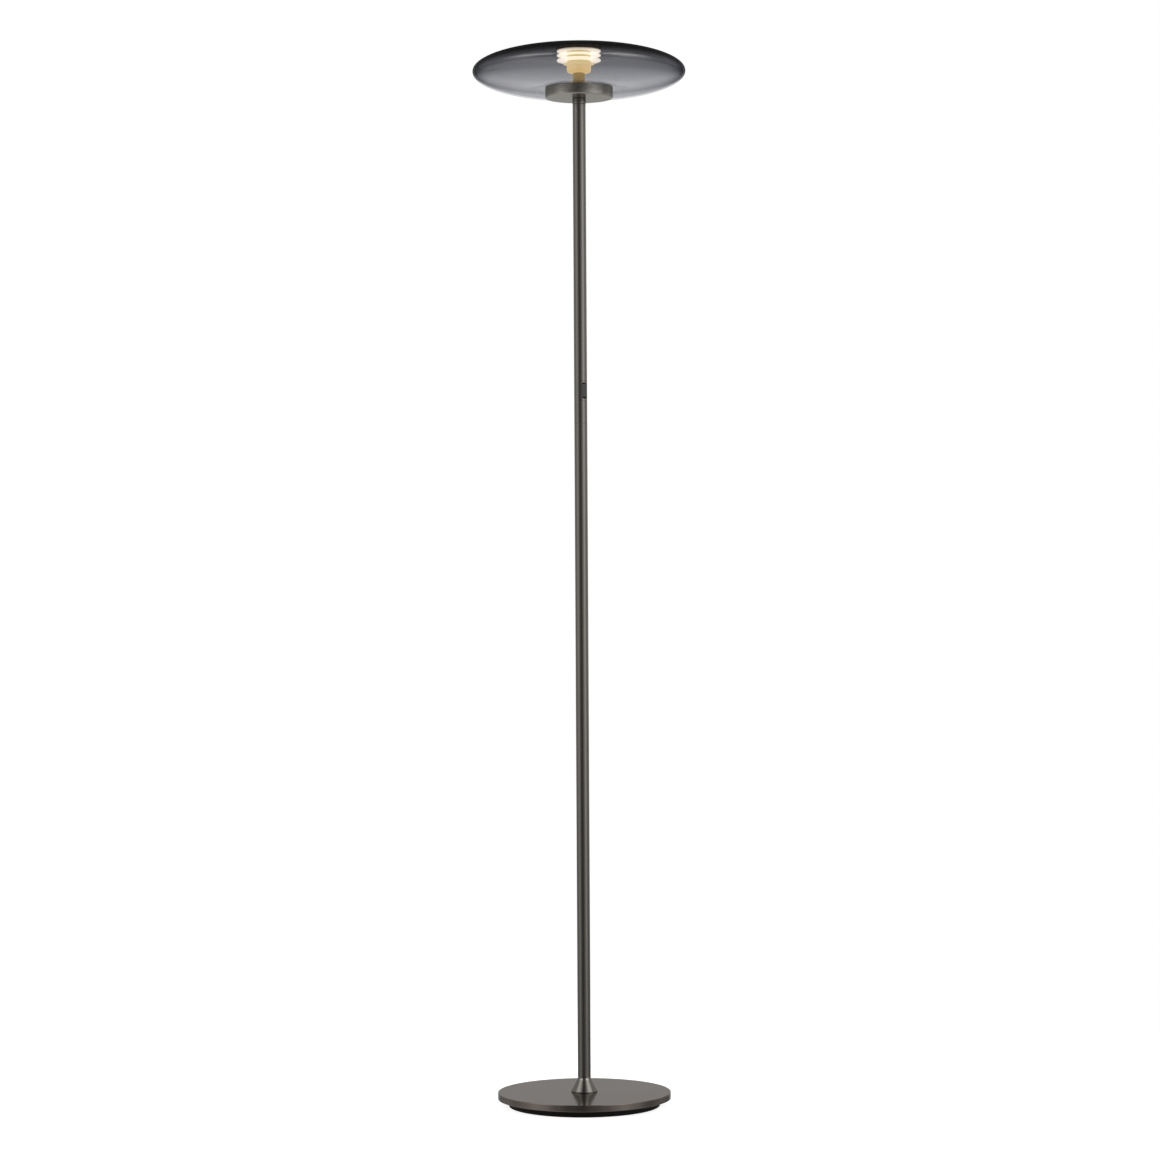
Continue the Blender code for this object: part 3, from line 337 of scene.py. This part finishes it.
def lamp_and_painted_glow(name, low_glow, high_glow, low, high, alpha=1.0):
    """An emitting surface: the lamp's own light on the diffusers and lens, and painted light on the stem, cup and
    trim ring, where a glow is painted on metal for the light that falls on it. The glow goes from one colour to
    another with height.
    """
    made, n, shader = new_material(name)
    position, _, _, z = place(n)
    cloud = n.noise(position, CLOUD_SCALE, 2.0)
    glow = n.mix_colour(n.fade(z, low, high), (*low_glow, 1.0), (*high_glow, 1.0))
    uneven = n.mix_colour(cloud, grey(0.93), grey(1.05))
    n.link(n.mix_colour(1.0, glow, uneven, "MULTIPLY"), shader.inputs["Emission Color"])
    shader.inputs["Emission Strength"].default_value = 1.0
    n.link(n.mix_colour(cloud, grey(0.02), grey(0.03)), shader.inputs["Base Color"])
    shader.inputs["Roughness"].default_value = 0.4
    shader.inputs["Alpha"].default_value = alpha
    return made


# Smoked glass: (height in metres, density through both faces of the wall). The density rising upwards is partly
# the glass's own smoke and partly painted shade, standing for the dark reflections along the shade's top.
SMOKE_AND_SHADE = (
    (1.7170, 0.26), (1.7300, 0.36), (1.7450, 0.40), (1.7580, 0.45), (1.7710, 0.53),
    (1.7810, 0.53), (1.7910, 0.53), (1.8010, 0.58),
)
SMOKE_TINT = (1.0, 0.985, 0.925)  # shares of the density, for red, green and blue
LEAST_LOW = 0.90                  # least cosine that the light's way through a wall is worked
LEAST_HIGH = 0.05                 # out with, low and high on the shade
LEAST_FADE = (1.735, 1.757)       # heights between which it changes
GLASS_GLOSS = 0.055               # share of light that one face mirrors
GLASS_ROUGHNESS = 0.12
SMOKE_CLOUD = 0.0006              # how far a cloud in the smoke moves its heights


def smoked_glass(name):
    """Clear glass with smoke in it: darker upwards, partly from its smoke and partly as painted shade, and darker
    where more of it is looked through.
    """
    made = bpy.data.materials.new(name)
    made.use_nodes = True
    n = Nodes(made.node_tree)
    position, _, _, z = place(n)
    cloud = n.fade(n.noise(position, 9.0, 2.0), 0.2, 0.8, -SMOKE_CLOUD, SMOKE_CLOUD)
    # Smoke and painted shade together: the density rises towards the top of the shade.
    smoke_and_shade_density = n.ramp(n.math("ADD", z, cloud), SMOKE_AND_SHADE, SMOKE_AND_SHADE[0][0], SMOKE_AND_SHADE[-1][0])
    facing = n.add("ShaderNodeLayerWeight")
    facing.inputs["Blend"].default_value = 0.5
    least = n.fade(z, *LEAST_FADE, LEAST_LOW, LEAST_HIGH)
    cosine = n.math("MAXIMUM", n.math("SUBTRACT", 1.0, facing.outputs["Facing"]), least)
    way = n.math("DIVIDE", smoke_and_shade_density, cosine)
    levels = [n.math("EXPONENT", n.math("MULTIPLY", way, -0.5 * share)) for share in SMOKE_TINT]
    clear = n.add("ShaderNodeBsdfTransparent")
    n.link(vector_of(n, *levels), clear.inputs["Color"])
    mirror = n.add("ShaderNodeBsdfGlossy")
    mirror.inputs["Color"].default_value = (1.0, 0.99, 1.0, 1.0)
    mirror.inputs["Roughness"].default_value = GLASS_ROUGHNESS
    output = n.add("ShaderNodeOutputMaterial")
    n.link(n.mix_shader(GLASS_GLOSS, clear.outputs[0], mirror.outputs[0]), output.inputs[0])
    return made


METAL = brushed_metal("satin_dark_nickel", (0.219, 0.208, 0.194), 0.18)
# Painted light: a lighter copy of the pole's dark nickel, standing for the bright floor that the foot cover
# mirrors.
FOOT_NICKEL_PAINTED_LIGHTER = brushed_metal("foot_dark_nickel_painted_lighter", (0.275, 0.237, 0.217), 0.14, 0.02)
# Painted light: a much lighter copy of the same dark nickel, standing for the brighter light on the drum.
DRUM_NICKEL_PAINTED_LIGHTER = brushed_metal("drum_dark_nickel_painted_lighter", (0.39, 0.375, 0.335), 0.25, 0.02)
BRONZE = brushed_metal("dark_bronze", (0.085, 0.052, 0.028), 0.35)
STEEL = plain_metal("zinc_plated_steel", (0.5, 0.5, 0.51), 0.35)
IRON = plain_metal("cast_iron", (0.10, 0.10, 0.10), 0.7)
BRASS = plain_metal("turned_brass", (0.62, 0.46, 0.22), 0.3)
BLACK = moulded("black_plastic", (0.006, 0.005, 0.004), 0.6, specular=0.1)
RUBBER = moulded("black_rubber", (0.010, 0.010, 0.010), 0.85, 500.0, specular=0.1)
BUTTON = moulded("button_plastic", (0.050, 0.049, 0.046), 0.38, 1400.0, 0.08)
WHITE = moulded("white_plastic", (0.78, 0.78, 0.76), 0.4)
BOARD = moulded("circuit_board", (0.03, 0.16, 0.06), 0.35, 300.0, 0.05)
SILICONE = moulded("silicone", (0.09, 0.08, 0.07), 0.5)
SHEATH = moulded("lead_sheath", (0.03, 0.03, 0.03), 0.6)
PALE_SHEATH = moulded("led_lead_sheath", (0.7, 0.68, 0.65), 0.5)


# --- Shape helpers ----------------------------------------------------------------------
LONG_SIDE = 0.004                 # sides of a profile longer than this are held at both ends
HOLD = 0.0005                     # how far from the end
ON_AXIS = 1e-7                    # a profile's point closer than this is on the axis
SHARP = 38.0                      # degrees between faces that make a sharp edge
CUT_SHARP = 25.0
ROUND_WIDE = 256                  # segments round the axis
ROUND = 192
ROUND_MIDDLE = 128
ROUND_SLIM = 96
GAP = 0.0003                      # between two pieces, in metres as all lengths
BORE = 0.0053                     # clears the hollow rod
FINE_EDGE = 0.0003                # radii of rounded edges
EDGE = 0.0004


def arc(centre_r, centre_z, radius, start, end, steps):
    """Profile points along an arc, with angles in degrees from outwards towards up."""
    points = []
    for step in range(steps + 1):
        angle = math.radians(start + (end - start) * step / steps)
        points.append((centre_r + radius * math.cos(angle), centre_z + radius * math.sin(angle)))
    return points


def upper_corner(r, z, edge, steps):
    """A rounded outer corner at the top of a profile."""
    return arc(r - edge, z - edge, edge, 90, 0, steps)


def lower_corner(r, z, edge, steps):
    """A rounded outer corner at the foot of a profile."""
    return arc(r - edge, z + edge, edge, 0, -90, steps)


def rounded_ring(outer, inner, low, high, edge):
    """A ring's profile with rounded outer edges."""
    return [
        (inner, high),
        *upper_corner(outer, high, edge, 4),
        *lower_corner(outer, low, edge, 4),
        (inner, low),
    ]


def mesh_from(name, shape, sharp=SHARP):
    data = bpy.data.meshes.new(name)
    bmesh.ops.recalc_face_normals(shape, faces=shape.faces)
    shape.to_mesh(data)
    shape.free()
    data.shade_smooth()
    data.set_sharp_from_angle(angle=math.radians(sharp))
    return data


def held(profile):
    """The profile with a point close to each end of its long sides, so that they shade flat."""
    points = []
    for first, second in zip(profile, profile[1:] + profile[:1]):
        points.append(first)
        run = (second[0] - first[0], second[1] - first[1])
        length = math.hypot(*run)
        if length > LONG_SIDE and max(first[0], second[0]) > 0.0:
            for share in (HOLD / length, 1 - HOLD / length):
                points.append((first[0] + run[0] * share, first[1] + run[1] * share))
    return points


def lathe_mesh(name, profile, segments=ROUND_MIDDLE, sharp=SHARP):
    """A profile turned round the Z axis. It runs down the outer side and closes on itself."""
    shape = bmesh.new()
    rings = []
    closed = profile[0][0] > 0.0 or profile[-1][0] > 0.0
    for r, z in held(profile):
        if r < ON_AXIS:
            rings.append([shape.verts.new((0.0, 0.0, z))])
            continue
        ring = []
        for index in range(segments):
            angle = math.tau * index / segments
            ring.append(shape.verts.new((r * math.cos(angle), r * math.sin(angle), z)))
        rings.append(ring)
    pairs = list(zip(rings, rings[1:]))
    if closed:
        pairs.append((rings[-1], rings[0]))
    for upper, lower in pairs:
        for index in range(segments):
            after = (index + 1) % segments
            corners = [upper[index % len(upper)], lower[index % len(lower)],
                       lower[after % len(lower)], upper[after % len(upper)]]
            unique = [v for i, v in enumerate(corners) if v not in corners[:i]]
            if len(unique) > 2:
                shape.faces.new(unique)
    return mesh_from(name, shape, sharp)


def block_mesh(name, low, high, matrix):
    """A block between two corners, turned and moved by a matrix, to cut or join to a mesh."""
    shape = bmesh.new()
    bmesh.ops.create_cube(shape, size=2.0)
    for vert in shape.verts:
        vert.co = Vector([b if c > 0 else a for a, b, c in zip(low, high, vert.co)])
    bmesh.ops.transform(shape, matrix=matrix, verts=shape.verts)
    return mesh_from(name, shape)


def combined(data, other, operation):
    """A mesh cut by, kept within or joined to another one."""
    name = data.name
    piece = bpy.data.objects.new(name + "_piece", data)
    cutter = bpy.data.objects.new(name + "_cutter", other)
    for made in (piece, cutter):
        bpy.context.scene.collection.objects.link(made)
    modifier = piece.modifiers.new("boolean", "BOOLEAN")
    modifier.operation = operation
    modifier.object = cutter
    modifier.solver = "EXACT"
    bpy.context.view_layer.update()
    seen = piece.evaluated_get(bpy.context.evaluated_depsgraph_get())
    result = bpy.data.meshes.new_from_object(seen)
    for made in (piece, cutter):
        bpy.data.objects.remove(made)
    result.name = name
    result.shade_smooth()
    result.set_sharp_from_angle(angle=math.radians(CUT_SHARP))
    return result


def add_piece(name, data, material, slot, *nodes, body=STAND):
    """A visible piece: it rides on a body, and stands for the CAD nodes named."""
    piece = bpy.data.objects.new(name, data)
    bpy.context.scene.collection.objects.link(piece)
    data.materials.clear()
    data.materials.append(material)
    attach(piece, body)
    if nodes:
        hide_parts(*nodes)
    return piece


def turned(name, profile, material, slot, *nodes, segments=ROUND_MIDDLE, sharp=SHARP):
    return add_piece(name, lathe_mesh(name, profile, segments, sharp), material, slot, *nodes)


# --- Foot -------------------------------------------------------------------------------
COVER_SKIN = 0.0015
COVER_EDGE = 0.0007
CONE_BAND = 0.0016                # height of the upright band round the cone's low edge
CONE_FILLET = 0.0105              # radius of its turn up to the pole
PAD_INNER = 0.1170
PAD_EDGE = 0.0005


def cone_slant(wide, low, narrow, high, fillet):
    """Degrees from upright at which a line from the band's edge meets the fillet."""
    across = narrow + fillet - wide
    up = high - low
    reach = math.hypot(across, up)
    return math.degrees(math.asin(fillet / reach) + math.atan2(-across, up))


def foot():
    """The round cover, the cone at the pole's foot, and the rubber ring on the floor."""
    low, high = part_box("base_cover")
    radius = high.x
    cover = [
        (BORE, high.z),
        *upper_corner(radius, high.z, COVER_EDGE, 6),
        *lower_corner(radius, low.z, FINE_EDGE, 3),
        (radius - COVER_SKIN, low.z),
        (radius - COVER_SKIN, high.z - COVER_SKIN),
        (BORE, high.z - COVER_SKIN),
    ]
    # The cover takes the lighter, painted-light copy of the dark nickel.
    turned("foot_cover", cover, FOOT_NICKEL_PAINTED_LIGHTER, "dark_nickel", "base_cover", segments=ROUND_WIDE)

    low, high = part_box("base_collar")
    wide = high.x
    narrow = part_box("lower_tube")[1].x
    shoulder = low.z + CONE_BAND
    slant = cone_slant(wide, shoulder, narrow, high.z, CONE_FILLET)
    cone = [
        (BORE, high.z),
        *arc(narrow + CONE_FILLET, high.z, CONE_FILLET, 180, 180 + slant, 12),
        *arc(wide - EDGE, shoulder - EDGE / 2, EDGE, 90 - slant, 0, 4),
        *lower_corner(wide, low.z, FINE_EDGE, 3),
        (BORE, low.z),
    ]
    turned("foot_cone", cone, METAL, "dark_nickel", "base_collar")

    low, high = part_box("anti_slip_ring")
    pad = [
        (PAD_INNER + FINE_EDGE, high.z),
        *upper_corner(high.x, high.z, FINE_EDGE, 3),
        *lower_corner(high.x, low.z, PAD_EDGE, 4),
        *arc(PAD_INNER + PAD_EDGE, low.z + PAD_EDGE, PAD_EDGE, -90, -180, 4),
        (PAD_INNER, high.z - FINE_EDGE),
    ]
    turned("floor_ring", pad, RUBBER, "black_rubber", "anti_slip_ring", segments=ROUND)


# --- Pole -------------------------------------------------------------------------------
TUBE_WALL = 0.0012
TUBE_EDGE = 0.00025


def tube_profile(low, high, radius, breaks=()):
    """A tube's profile, with extra rings at the heights in breaks."""
    return [
        (radius - TUBE_WALL, high),
        *upper_corner(radius, high, TUBE_EDGE, 3),
        *[(radius, z) for z in breaks],
        *lower_corner(radius, low, TUBE_EDGE, 3),
        (radius - TUBE_WALL, low),
    ]


def pole():
    """The two lower sections. The upper one is made with the dimmer."""
    for node in ("lower_tube", "middle_tube"):
        low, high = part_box(node)
        tube = tube_profile(low.z, high.z, high.x)
        turned("pole_" + node, tube, METAL, "dark_nickel", node, segments=ROUND_SLIM)


# --- Dimmer -----------------------------------------------------------------------------
# A pair is a half width and a half length. Faces and backs are distances from the pole's axis.
SLOT_HALF = (0.0080, 0.0170)
BREAK_REACH = 1.3                 # the tube's extra rings lie this many half lengths off
WINDOW_HALF = (0.0071, 0.0110)
SCOOP_LENGTH = 0.0045
SCOOP_DEPTH = 0.0030
SCOOP_INSET = 0.0001
BEZEL_BACK = 0.0052
KEY_FACE = 0.0109
KEY_BACK = 0.0039
FLANGE_HALF = (0.0076, 0.0122)
FLANGE_PROUD = 0.0001             # how far the flange reaches past the key's back
OUTSIDE = 0.0150                  # clear of the pole


def bar(name, radius, middle, half, back, at):
    """A length of round bar, cut back to a strip that faces the dimmer's way."""
    top, low = middle + half[1], middle - half[1]
    profile = [(0.0, top), (radius, top), (radius, low), (0.0, low)]
    whole = lathe_mesh(name, profile, ROUND)
    keep = block_mesh("keep", (back, -half[0], -2 * half[1]), (OUTSIDE, half[0], 2 * half[1]), at)
    return combined(whole, keep, "INTERSECT")


def scoop_mesh(radius, at):
    """A block wider towards the outside, that cuts the bezel's two sloped ends."""
    scoop = bmesh.new()
    bmesh.ops.create_cube(scoop, size=2.0)
    for vert in scoop.verts:
        near = vert.co.x < 0
        reach = WINDOW_HALF[1] - SCOOP_INSET if near else WINDOW_HALF[1] + 2 * SCOOP_LENGTH
        vert.co.x = radius + (-SCOOP_DEPTH if near else SCOOP_DEPTH)
        vert.co.y *= WINDOW_HALF[0] - SCOOP_INSET
        vert.co.z *= reach
    bmesh.ops.transform(scoop, matrix=at, verts=scoop.verts)
    return mesh_from("scoop", scoop)


def dimmer():
    """The pole's upper section with its slot, and the bezel and key in it."""
    low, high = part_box("upper_tube")
    bezel_low, bezel_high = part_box("dimmer_bezel")
    middle = (bezel_low.z + bezel_high.z) / 2
    press = next(joint for joint in frame["joints"] if joint["name"] == "dimmer_press")
    inwards = Vector(press["axis"])
    turn = math.atan2(-inwards.y, -inwards.x)
    at = Matrix.Translation((0.0, 0.0, middle)) @ Matrix.Rotation(turn, 4, "Z")
    radius = high.x

    breaks = [middle + BREAK_REACH * SLOT_HALF[1], middle - BREAK_REACH * SLOT_HALF[1]]
    profile = tube_profile(low.z, high.z, radius, breaks)
    tube = lathe_mesh("pole_upper_tube", profile, ROUND_SLIM)
    slot = block_mesh("slot", (0.0, -SLOT_HALF[0], -SLOT_HALF[1]), (OUTSIDE, *SLOT_HALF), at)
    tube = combined(tube, slot, "DIFFERENCE")
    add_piece("pole_upper_tube", tube, METAL, "dark_nickel", "upper_tube")

    half = (SLOT_HALF[0] - GAP, SLOT_HALF[1] - GAP)
    bezel = bar("bezel", radius, middle, half, BEZEL_BACK, at)
    window = block_mesh("window", (0.0, -WINDOW_HALF[0], -WINDOW_HALF[1]),
                        (OUTSIDE, *WINDOW_HALF), at)
    bezel = combined(bezel, window, "DIFFERENCE")
    bezel = combined(bezel, scoop_mesh(radius, at), "DIFFERENCE")
    add_piece("dimmer_surround", bezel, METAL, "dark_nickel", "dimmer_bezel")

    half = (WINDOW_HALF[0] - GAP, WINDOW_HALF[1] - GAP)
    key = bar("key", KEY_FACE, middle, half, KEY_BACK, at)
    flange = block_mesh("flange", (KEY_BACK - FLANGE_PROUD, -FLANGE_HALF[0], -FLANGE_HALF[1]),
                        (BEZEL_BACK - GAP, *FLANGE_HALF), at)
    key = combined(key, flange, "UNION")
    add_piece("dimmer_push_key", key, BUTTON, "grey_plastic", "dimmer_button", body=KEY)


# --- Shade ------------------------------------------------------------------------------
SHADE_FULLNESS = 2.05             # power of the lens's outline: 2 is an ellipse
TOP_OPENING = 0.0350
LOW_OPENING = 0.0500
LIP = 0.0012                      # radius of the low opening's lip, and room for the top one
TOP_LIP = 0.00135
TOP_LIP_OUT = 0.0014              # how far outside the opening its middle lies
SEAT_RADIUS = 0.0562
DISH_RADIUS = 0.1060              # where the underside turns up to its seat
DISH_SLOPE = -0.12                # slope of the dish where it meets the seat
DISH_STEPS = 20
OUTER_STEPS = 110
INNER_STEPS = 100
GLASS = 0.0030
GLASS_SHARP = 80.0
HALF_HEIGHT = 0.0432


def lens_share(r, radius):
    """How high a lens of this radius is at r, as a share of its half height."""
    return (1 - (r / radius) ** SHADE_FULLNESS) ** (1 / SHADE_FULLNESS)


def wall_points(radius, half, middle, seat, steps):
    """One side of the glass wall, from its top opening to its seat."""
    power = 2 / SHADE_FULLNESS
    start = math.acos(((TOP_OPENING + LIP) / radius) ** (1 / power))
    end = -math.acos((DISH_RADIUS / radius) ** (1 / power))
    points = []
    for step in range(steps + 1):
        turn = start + (end - start) * step / steps
        across = radius * math.cos(turn) ** power
        up = math.copysign(half * abs(math.sin(turn)) ** power, turn)
        points.append((across, middle + up))
    near, height = points[-1]
    share = lens_share(near, radius)
    slope = half / radius * (near / radius / share) ** (SHADE_FULLNESS - 1)
    run = seat[0] - near
    for step in range(1, DISH_STEPS + 1):
        t = step / DISH_STEPS
        z = height * (2 * t**3 - 3 * t**2 + 1) + seat[1] * (3 * t**2 - 2 * t**3)
        z += run * (slope * (t**3 - 2 * t**2 + t) + DISH_SLOPE * (t**3 - t**2))
        points.append((near + run * t, z))
    return points


def shade():
    """The glass, open at the top and round the stem."""
    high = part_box("glass_shade")[1]
    radius = high.x
    middle = high.z - HALF_HEIGHT * lens_share(TOP_OPENING, radius)
    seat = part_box("seat_gasket")[1].z + GAP
    lip_r = LOW_OPENING + LIP
    outer = wall_points(radius, HALF_HEIGHT, middle, (SEAT_RADIUS, seat), OUTER_STEPS)
    inner = wall_points(radius - GLASS, HALF_HEIGHT - GLASS, middle, (lip_r, seat + GLASS),
                        INNER_STEPS)
    top_lip = arc(TOP_OPENING + TOP_LIP_OUT, (outer[0][1] + inner[0][1]) / 2, TOP_LIP, 260, 100, 8)
    low_lip = arc(lip_r, seat + LIP, LIP, -90, -180, 5)
    low_lip += arc(lip_r, seat + GLASS - LIP, LIP, 180, 90, 5)
    profile = outer + low_lip[:-1] + inner[::-1] + top_lip
    turned("shade_glass", profile, smoked_glass("smoked_glass"), "smoked_glass", "glass_shade",
           segments=ROUND, sharp=GLASS_SHARP)


# --- Head -------------------------------------------------------------------------------
DRUM_SKIN = 0.0015
DRUM_TURN = 0.001                 # the inside corner, cut off by this much
DRUM_LIP = 0.0006
DRUM_EDGE = 0.0028


def drum():
    """The drum under the glass, its cap, and the short ring below it."""
    low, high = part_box("drum_housing")
    inside = high.x - DRUM_SKIN
    shell = [
        (inside, high.z),
        *upper_corner(high.x, high.z, DRUM_LIP, 4),
        *lower_corner(high.x, low.z, DRUM_EDGE, 10),
        (BORE, low.z),
        (BORE, low.z + DRUM_SKIN),
        (inside - DRUM_TURN, low.z + DRUM_SKIN),
        (inside, low.z + DRUM_SKIN + DRUM_TURN),
    ]
    # The drum and its cap take the lighter, painted-light copy of the dark nickel.
    turned("drum_shell", shell, DRUM_NICKEL_PAINTED_LIGHTER, "dark_nickel", "drum_housing", segments=ROUND)
    low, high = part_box("drum_lid")
    cap = rounded_ring(high.x, BORE, low.z, high.z, FINE_EDGE)
    turned("drum_cap", cap, DRUM_NICKEL_PAINTED_LIGHTER, "dark_nickel", "drum_lid", segments=ROUND)
    low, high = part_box("head_collar")
    collar = rounded_ring(high.x, BORE, low.z, high.z, EDGE)
    turned("pole_collar", collar, METAL, "dark_nickel", "head_collar", segments=ROUND_SLIM)


COLUMN_RADIUS = 0.0205
COLUMN_EDGE = 0.0002
CUP_WALL = 0.002
CUP_CORNER = 0.005                # the cup's rounded foot
CUP_NECK = 0.0040                 # radius of the hollow under its flare
CUP_NECK_DROP = 0.0048            # its middle, below the cup's top
CUP_FLOOR = 0.003
CUP_INSIDE_TOP = 0.0045
DISC_ROOT = COLUMN_RADIUS + 0.0001
FACES_UP = 0.7                    # a disc's face is flat where its normal is this upright
DISCS = {                         # each disc's low and high side, above its piece's low end
    "lower_diffuser": (0.0064, 0.0098),
    "middle_diffuser": (0.0031, 0.0049),
    "upper_diffuser": (0.0027, 0.0045),
}
GOLDEN = (0.98, 0.77, 0.31)       # colours of light
# The cup, stem and trim colours below are painted light: a glow painted on metal for the engine's light falling on
# it.
CUP_PAINTED_GLOW_LOW = (1.00, 0.68, 0.27)
CUP_PAINTED_GLOW_HIGH = (1.18, 0.88, 0.42)
STEM_PAINTED_GLOW_LOW = (0.26, 0.175, 0.060)
STEM_PAINTED_GLOW_HIGH = (0.42, 0.275, 0.088)
WHITE_HOT = (2.25, 1.98, 1.62)
TRIM_PAINTED_GLOW_LOW = (0.50, 0.34, 0.14)
TRIM_PAINTED_GLOW_HIGH = (0.62, 0.44, 0.20)
LENS_LIGHT = (2.4, 2.1, 1.6)
RIM_ALPHA = 0.18
FACE_ALPHA = 0.42


def engine():
    """The stem, cup, column and discs inside the glass. The column and discs are the lamp's own lit diffusers; the
    stem and cup are metal with a painted glow, standing for the engine's light on them.
    """
    cup_low, cup_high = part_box("engine_cup")
    heights = (cup_low.z, cup_high.z)
    column = lamp_and_painted_glow("lit_column", GOLDEN, GOLDEN, *heights)
    # The cup is metal: its glow is painted light, brighter towards the top.
    cup_painted_glow = lamp_and_painted_glow("painted_glow_cup", CUP_PAINTED_GLOW_LOW, CUP_PAINTED_GLOW_HIGH, *heights)
    rim_glow = lamp_and_painted_glow("lit_disc_rim", WHITE_HOT, WHITE_HOT, *heights, alpha=RIM_ALPHA)
    face_glow = lamp_and_painted_glow("lit_disc_face", WHITE_HOT, WHITE_HOT, *heights, alpha=FACE_ALPHA)

    low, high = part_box("stem_tube")
    # The stem is metal: its glow is painted light for the engine's light falling on it.
    stem = lamp_and_painted_glow("painted_glow_stem", STEM_PAINTED_GLOW_LOW, STEM_PAINTED_GLOW_HIGH, low.z, high.z)
    turned("stem", rounded_ring(high.x, BORE, low.z, high.z, EDGE), stem, "dark_nickel",
           "stem_tube", segments=ROUND_SLIM)

    inside = COLUMN_RADIUS - CUP_WALL
    cup = [
        (cup_high.x - CUP_WALL, cup_high.z),
        *arc(cup_high.x - EDGE, cup_high.z - EDGE, EDGE, 90, -30, 5),
        *arc(COLUMN_RADIUS + CUP_NECK, cup_high.z - CUP_NECK_DROP, CUP_NECK, 150, 180, 4),
        *lower_corner(COLUMN_RADIUS, cup_low.z, CUP_CORNER, 8),
        (BORE, cup_low.z),
        (BORE, cup_low.z + CUP_FLOOR),
        (inside - CUP_WALL, cup_low.z + CUP_FLOOR),
        (inside, cup_low.z + CUP_FLOOR + CUP_WALL),
        (inside, cup_high.z - CUP_INSIDE_TOP),
    ]
    turned("engine_cup_painted_glow", cup, cup_painted_glow, "warm_metal", "engine_cup", segments=ROUND_SLIM)

    for node, (disc_low, disc_high) in DISCS.items():
        low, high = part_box(node)
        tube = rounded_ring(COLUMN_RADIUS, inside, low.z, high.z, COLUMN_EDGE)
        turned(node + "_column", tube, column, "opal", node, segments=ROUND_SLIM)
        half = (disc_high - disc_low) / 2
        middle = low.z + disc_low + half
        rim = [
            (DISC_ROOT, middle + half),
            *arc(high.x - half, middle, half, 90, -90, 10),
            (DISC_ROOT, middle - half),
        ]
        disc = turned(node + "_disc", rim, rim_glow, "opal", segments=ROUND_SLIM)
        disc.data.materials.append(face_glow)
        for face in disc.data.polygons:
            face.material_index = int(abs(face.normal.z) > FACES_UP)


TRIM_FLANGE = 0.0010


def shade_top():
    """The plate under the glass's top opening, and the ring and lens in it."""
    low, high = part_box("shade_carrier")
    plate = rounded_ring(high.x, BORE, low.z, high.z, EDGE)
    turned("carrier_plate", plate, BRONZE, "dark_bronze", "shade_carrier")
    low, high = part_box("top_trim_ring")
    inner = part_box("top_lens")[1].x + GAP
    spigot = TOP_OPENING - GAP
    trim = [
        (inner, high.z),
        *upper_corner(high.x, high.z, EDGE, 5),
        (high.x, high.z - TRIM_FLANGE),
        (spigot, high.z - TRIM_FLANGE),
        (spigot, low.z),
        (inner, low.z),
    ]
    # The bronze trim ring gets a painted glow: a painted highlight for the light that catches it.
    trim_painted_glow = lamp_and_painted_glow("painted_glow_trim", TRIM_PAINTED_GLOW_LOW, TRIM_PAINTED_GLOW_HIGH, low.z, high.z)
    turned("trim_ring", trim, trim_painted_glow, "dark_bronze", "top_trim_ring")
    low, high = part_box("top_lens")
    lens_glow = lamp_and_painted_glow("lit_lens", LENS_LIGHT, LENS_LIGHT, low.z, high.z)
    lens = [(0.0, high.z), *upper_corner(high.x, high.z, EDGE, 4), (high.x, low.z), (0.0, low.z)]
    turned("uplight_lens", lens, lens_glow, "uplight_lens", "top_lens")


foot()
pole()
dimmer()
drum()
engine()
shade_top()
shade()


# --- Materials of the CAD's own nodes -----------------------------------------------------
CARRIED = {
    "dark_nickel": METAL,
    "steel": STEEL,
    "cast_iron": IRON,
    "brass": BRASS,
    "warm_metal": BRASS,
    "dark_bronze": BRONZE,
    "black_plastic": BLACK,
    "black_rubber": RUBBER,
    "grey_plastic": BUTTON,
    "white_plastic": WHITE,
    "circuit_board": BOARD,
    "led_board": WHITE,
    "opal": WHITE,
    "uplight_lens": WHITE,
    "smoked_glass": WHITE,
    "silicone": SILICONE,
    "lead_sheath": SHEATH,
    "led_lead_sheath": PALE_SHEATH,
}
slots = {part["node"]: part["material_slot"] for part in frame["record"]["subparts"]}
for node, shown in frame["nodes"].items():
    for slot in shown.material_slots:
        slot.material = CARRIED[slots[node]]


# --- Floor --------------------------------------------------------------------------------
FLOOR_LOW = -0.0003               # just under what stands on it
FLOOR_RADIUS = 1.6
FLOOR_SIDES = 96
FLOOR_FADE = (0.5, 1.5)           # distances between which it fades out
FLOOR_COLOUR = 0.8
FLOOR_GLOW = 0.80


def floor():
    """A pale floor that fades out into the white around it."""
    bpy.ops.mesh.primitive_circle_add(vertices=FLOOR_SIDES, radius=FLOOR_RADIUS,
                                      fill_type="NGON", location=(0, 0, FLOOR_LOW))
    ground = bpy.context.object
    ground.name = "floor"
    made = bpy.data.materials.new("floor")
    made.use_nodes = True
    n = Nodes(made.node_tree)
    _, radius, _, _ = place(n)
    diffuse = n.add("ShaderNodeBsdfDiffuse")
    diffuse.inputs["Color"].default_value = grey(FLOOR_COLOUR)
    glow = n.add("ShaderNodeEmission")
    glow.inputs["Strength"].default_value = FLOOR_GLOW
    lit = n.add("ShaderNodeAddShader")
    n.link(diffuse.outputs[0], lit.inputs[0])
    n.link(glow.outputs[0], lit.inputs[1])
    clear = n.add("ShaderNodeBsdfTransparent")
    output = n.add("ShaderNodeOutputMaterial")
    faded = n.mix_shader(n.fade(radius, *FLOOR_FADE), lit.outputs[0], clear.outputs[0])
    n.link(faded, output.inputs[0])
    ground.data.materials.append(made)
    ground.visible_glossy = False


floor()
